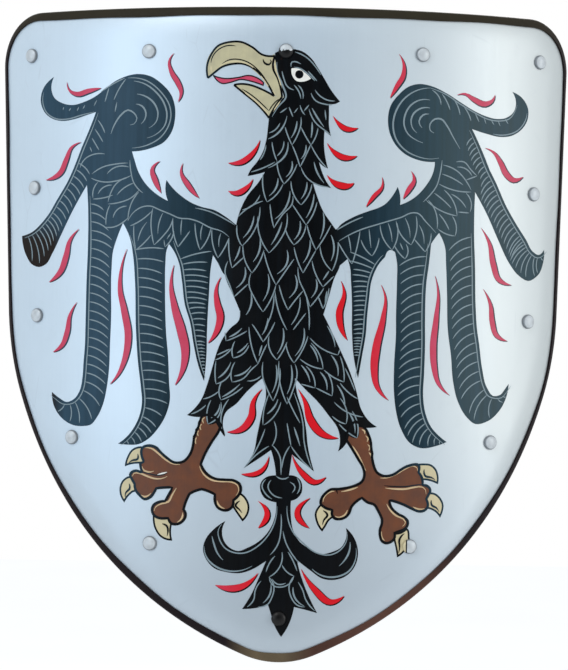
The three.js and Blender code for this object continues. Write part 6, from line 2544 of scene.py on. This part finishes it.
def add_flag(light):
    """A dark cloth behind the camera, which keeps the middle of the glossy paint deep."""
    material, bench, shader, place = new_finish("flag_cloth")
    tone = bench.noise(place, 3.0)
    join(bench, shader, bench.tint(tone, shaded(FLAG_BLACK, 0.98), FLAG_BLACK))
    shader.inputs["Roughness"].default_value = 1.0
    y, half = -light.flag_distance, light.flag_width / 2
    low, high = FLAG_HEIGHTS
    corners = [(half, y, low), (-half, y, low), (-half, y, high), (half, y, high)]
    flag = stage_plane("dark_flag", corners, material)
    flag.visible_camera = False


# What a user would change
def colour_property(name, description, default):
    return bpy.props.FloatVectorProperty(
        name=name, description=description, default=default, subtype="COLOR", size=3, min=0.0, max=1.0
    )


def number_property(name, description, default, least, subtype="NONE"):
    return bpy.props.FloatProperty(
        name=name, description=description, default=default, min=least, subtype=subtype
    )


class ShieldPaint(bpy.types.PropertyGroup):
    field: colour_property("Field", "Silver-blue paint of the field", srgb(195, 212, 225))
    field_pale: colour_property("Field streaks", "Paler streaks in the field", srgb(226, 238, 250))
    # Painted shade: the field's greyer tone towards the right and low down
    field_grey_shade: colour_property("Field low right", "Greyer tone low on the right", srgb(192, 199, 199))
    # Painted shade: the field's duller tone towards the tip
    field_tip_shade: colour_property("Field towards the tip", "Duller tone towards the tip", srgb(172, 186, 198))
    field_worn: colour_property("Field scuffs", "Scuffs in the field", srgb(150, 160, 170))
    rivet: colour_property("Rivets", "Field colour on the rivets' domes", srgb(198, 206, 211))
    # Painted shade: the dark ring low on each rivet's dome
    rim_shade: colour_property("Grime", "Dirt round the rivets' rims", srgb(100, 106, 112))
    bare: colour_property("Bare steel", "Unpainted steel behind the face", srgb(112, 112, 116))
    black: colour_property("Black", "Black of the eagle's body", srgb(6, 7, 9))
    # Painted reflection on the glossy black: blue-black where the wings leave the body, blue-grey and grey
    # over the left and right wings
    wing: colour_property("Wing", "Blue-black where the wings leave the body", srgb(24, 46, 57))
    left_wing_sheen: colour_property("Left wing", "Blue-grey of the left wing's feathers", srgb(43, 67, 83))
    right_wing_sheen: colour_property("Right wing", "Grey of the right wing's feathers", srgb(54, 72, 77))
    worn_tip: colour_property("Worn tip", "Brown-black of one feather tip", srgb(32, 27, 25))
    line: colour_property("Line", "Grey-blue of the feather lines", srgb(125, 143, 151))
    flame: colour_property("Flame", "Red of the inner flames", srgb(216, 22, 36))
    flame_outer: colour_property("Outer flame", "Crimson of the outer flames", srgb(202, 72, 102))
    leg: colour_property("Leg", "Brown of the legs", srgb(94, 60, 46))
    leg_warm: colour_property("Legs, warm", "Orange-brown patches on legs and toes", srgb(118, 68, 40))
    leg_pale: colour_property("Legs, pale strokes", "Soft pale strokes along the toes", srgb(212, 186, 146))
    claw: colour_property("Claw", "Cream of the claws", srgb(206, 196, 160))
    beak: colour_property("Beak", "Tan of the beak", srgb(182, 177, 148))
    beak_pale: colour_property("Beak patches", "Paler patches of the beak", srgb(206, 200, 160))
    eye: colour_property("Eye", "White of the eye", srgb(235, 236, 230))


class ShieldLeather(bpy.types.PropertyGroup):
    binding: colour_property("Binding", "Dark leather of the edge", srgb(22, 14, 18))
    # Painted reflections on the glossy black binding: olive along the top, brown low on the right,
    # olive-brown at the tip
    binding_top_sheen: colour_property("Binding, top", "Olive tone along the top edge", srgb(50, 46, 34))
    binding_brown_sheen: colour_property("Binding, brown", "Brown where the wax has worn", srgb(88, 60, 50))
    binding_tip_sheen: colour_property("Binding, tip", "Olive-brown tone at the tip", srgb(112, 98, 76))
    lining: colour_property("Lining", "Tan of the lining", srgb(168, 128, 88))
    lining_dark: colour_property("Lining pores", "Pores and creases of the lining", srgb(104, 72, 46))
    strap: colour_property("Strap", "Brown of the strap", srgb(112, 70, 42))
    strap_dark: colour_property("Strap edges", "Burnished edges of the strap", srgb(48, 28, 18))
    pad: colour_property("Pad", "Tan of the arm pad", srgb(176, 132, 88))
    pad_dark: colour_property("Pad pores", "Pores and creases of the pad", srgb(112, 78, 50))
    thread: colour_property("Thread", "Waxed thread of the stitches", srgb(206, 192, 160))
    steel: colour_property("Steel", "Plain steel of the buckle and burrs", srgb(176, 178, 182))
    waver: number_property("Binding waver", "How far the binding's inner edge wanders, in mm", 0.7, 0.0)
    stitch_pitch: number_property("Stitch pitch", "Distance between stitches, in mm", 5.0, 1.0)
    stitch_length: number_property("Stitch length", "Length of a stitch, in mm", 3.6, 0.5)


class ShieldLines(bpy.types.PropertyGroup):
    coat: number_property("Coat", "Thickness of the black paint, in mm", 0.15, 0.02)
    feather_line: number_property("Feather line", "Width of the feather lines, in photo pixels", 1.25, 0.2)
    glint: number_property("Glint", "Width of the thick inner strokes, in photo pixels", 1.8, 0.2)
    dark_line: number_property("Dark line", "Width of the dark outlines, in photo pixels", 2.0, 0.2)


class ShieldLight(bpy.types.PropertyGroup):
    air: colour_property("Air", "Colour of the light from all round", (0.92, 0.96, 1.0))
    air_strength: number_property("Air strength", "Strength of the light from all round", 0.62, 0.0)
    floor_drop: number_property("Floor drop", "Floor's distance below the arm", 0.95, 0.4, "DISTANCE")
    flag_distance: number_property("Flag distance", "Distance of the dark flag", 5.0, 1.0, "DISTANCE")
    flag_width: number_property("Flag width", "Width of the dark flag", 4.0, 0.1, "DISTANCE")


class SHIELD_OT_stage(bpy.types.Operator):
    """Set up the camera, the lamps, the floor and the pale surroundings"""

    bl_idname = "shield.stage"
    bl_label = "Stage"

    def execute(self, context):
        light = context.scene.shield_light
        context.scene.view_settings.view_transform = "Standard"
        add_camera()
        add_world(light)
        add_floor(light)
        add_flag(light)
        add_lamp("high_lamp", (-1.6, -2.4, 2.2), (0, 0, 0), (1.6, 1.2), 34, PLAIN_LAMP)
        add_lamp("left_bank", (-2.6, -2.3, 0.4), (0, 0, 0.08), (0.9, 1.8), 20.5, srgb(*COOL_LAMP))
        add_lamp("right_bank", (3.0, -1.4, 0.35), (0.1, 0, 0.05), (0.9, 2.0), 30, PLAIN_LAMP)
        add_lamp("back_lamp", (1.0, 3.2, 2.0), (0, 0, 0), (2.0, 1.6), 60, PLAIN_LAMP)
        return {"FINISHED"}


class SHIELD_OT_plate(bpy.types.Operator):
    """Make the bent steel plate with its turned-back border"""

    bl_idname = "shield.plate"
    bl_label = "Steel plate"

    def execute(self, context):
        add_plate(field_paint(context.scene.shield_paint))
        return {"FINISHED"}


class SHIELD_OT_binding(bpy.types.Operator):
    """Fold the leather binding over the plate's edge"""

    bl_idname = "shield.binding"
    bl_label = "Edge binding"

    def execute(self, context):
        leather = context.scene.shield_leather
        add_binding(binding_leather(leather), leather.waver)
        return {"FINISHED"}


class SHIELD_OT_rim_fixings(bpy.types.Operator):
    """Set the domed rivets round the rim, with their burrs behind"""

    bl_idname = "shield.rim_fixings"
    bl_label = "Rim rivets and burrs"

    def execute(self, context):
        steel = bare_steel(context.scene.shield_leather)
        add_rim_fixings(rivet_paint(context.scene.shield_paint), steel)
        add_foot_fixings(steel)
        return {"FINISHED"}


class SHIELD_OT_figure(bpy.types.Operator):
    """Paint the eagle with its flames, legs, claws and beak"""

    bl_idname = "shield.figure"
    bl_label = "Painted eagle"

    def execute(self, context):
        paint = context.scene.shield_paint
        finishes = {
            "black": black_paint(paint),
            "line": brushed_colour("line_paint", paint.line, shaded(paint.line, 1.25)),
            "flame": flame_paint(paint),
            "leg": brushed_colour("leg_paint", paint.leg, paint.leg_warm),
            "leg_pale": brushed_colour("leg_pale_paint", paint.leg_pale, shaded(paint.leg_pale, 0.7)),
            "claw": brushed_colour("claw_paint", paint.claw, shaded(paint.claw, 1.1)),
            "beak": brushed_colour("beak_paint", paint.beak, paint.beak_pale),
            "tongue": brushed_colour("tongue_paint", paint.flame_outer, shaded(paint.flame_outer, 1.15)),
            "eye": brushed_colour("eye_paint", paint.eye, shaded(paint.eye, 1.05)),
        }
        lines = context.scene.shield_lines
        add_flames(finishes)
        add_figure(lines, finishes)
        add_linework(lines, finishes)
        return {"FINISHED"}


class SHIELD_OT_back(bpy.types.Operator):
    """Make the lining, the forearm strap with its buckle, the grip and the arm pad"""

    bl_idname = "shield.back"
    bl_label = "Lining, straps and pad"

    def execute(self, context):
        leather = context.scene.shield_leather
        strap = edged_leather("strap_leather", leather.strap, leather.strap_dark)
        steel = bare_steel(leather)
        thread = waxed_thread(leather)
        add_lining(worn_leather("lining_leather", leather.lining, leather.lining_dark))
        add_chape(strap)
        add_billet(strap)
        add_grip(strap)
        add_buckle(steel)
        add_tongue(steel)
        add_keeper(strap)
        pad = worn_leather("pad_leather", leather.pad, leather.pad_dark, 460.0, 0.6)
        add_pad(pad, thread, leather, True)
        add_stitches(leather, thread)
        return {"FINISHED"}


class SHIELD_PT_builder(bpy.types.Panel):
    """Lists the shield's steps in the order they are made"""

    bl_idname = "SHIELD_PT_builder"
    bl_label = "Heraldic Shield"
    bl_space_type = "VIEW_3D"
    bl_region_type = "UI"
    bl_category = "Shield"

    def draw(self, context):
        for group in ("shield_paint", "shield_leather", "shield_lines", "shield_light"):
            settings = getattr(context.scene, group)
            box = self.layout.box()
            for name in type(settings).__annotations__:
                box.prop(settings, name)
        for operator in OPERATORS:
            self.layout.operator(operator.bl_idname)


SETTINGS = {
    "shield_paint": ShieldPaint,
    "shield_leather": ShieldLeather,
    "shield_lines": ShieldLines,
    "shield_light": ShieldLight,
}
OPERATORS = (
    SHIELD_OT_stage,
    SHIELD_OT_plate,
    SHIELD_OT_binding,
    SHIELD_OT_rim_fixings,
    SHIELD_OT_figure,
    SHIELD_OT_back,
)


def register():
    for settings in SETTINGS.values():
        bpy.utils.register_class(settings)
    for name, settings in SETTINGS.items():
        setattr(bpy.types.Scene, name, bpy.props.PointerProperty(type=settings))
    for operator in OPERATORS:
        bpy.utils.register_class(operator)
    bpy.utils.register_class(SHIELD_PT_builder)


def unregister():
    bpy.utils.unregister_class(SHIELD_PT_builder)
    for operator in reversed(OPERATORS):
        bpy.utils.unregister_class(operator)
    for name, settings in SETTINGS.items():
        delattr(bpy.types.Scene, name)
        bpy.utils.unregister_class(settings)


def main():
    register()
    steps = (
        bpy.ops.shield.stage,
        bpy.ops.shield.plate,
        bpy.ops.shield.binding,
        bpy.ops.shield.rim_fixings,
        bpy.ops.shield.figure,
        bpy.ops.shield.back,
    )
    for step in steps:
        step()
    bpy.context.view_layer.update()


if __name__ == "__main__":
    main()
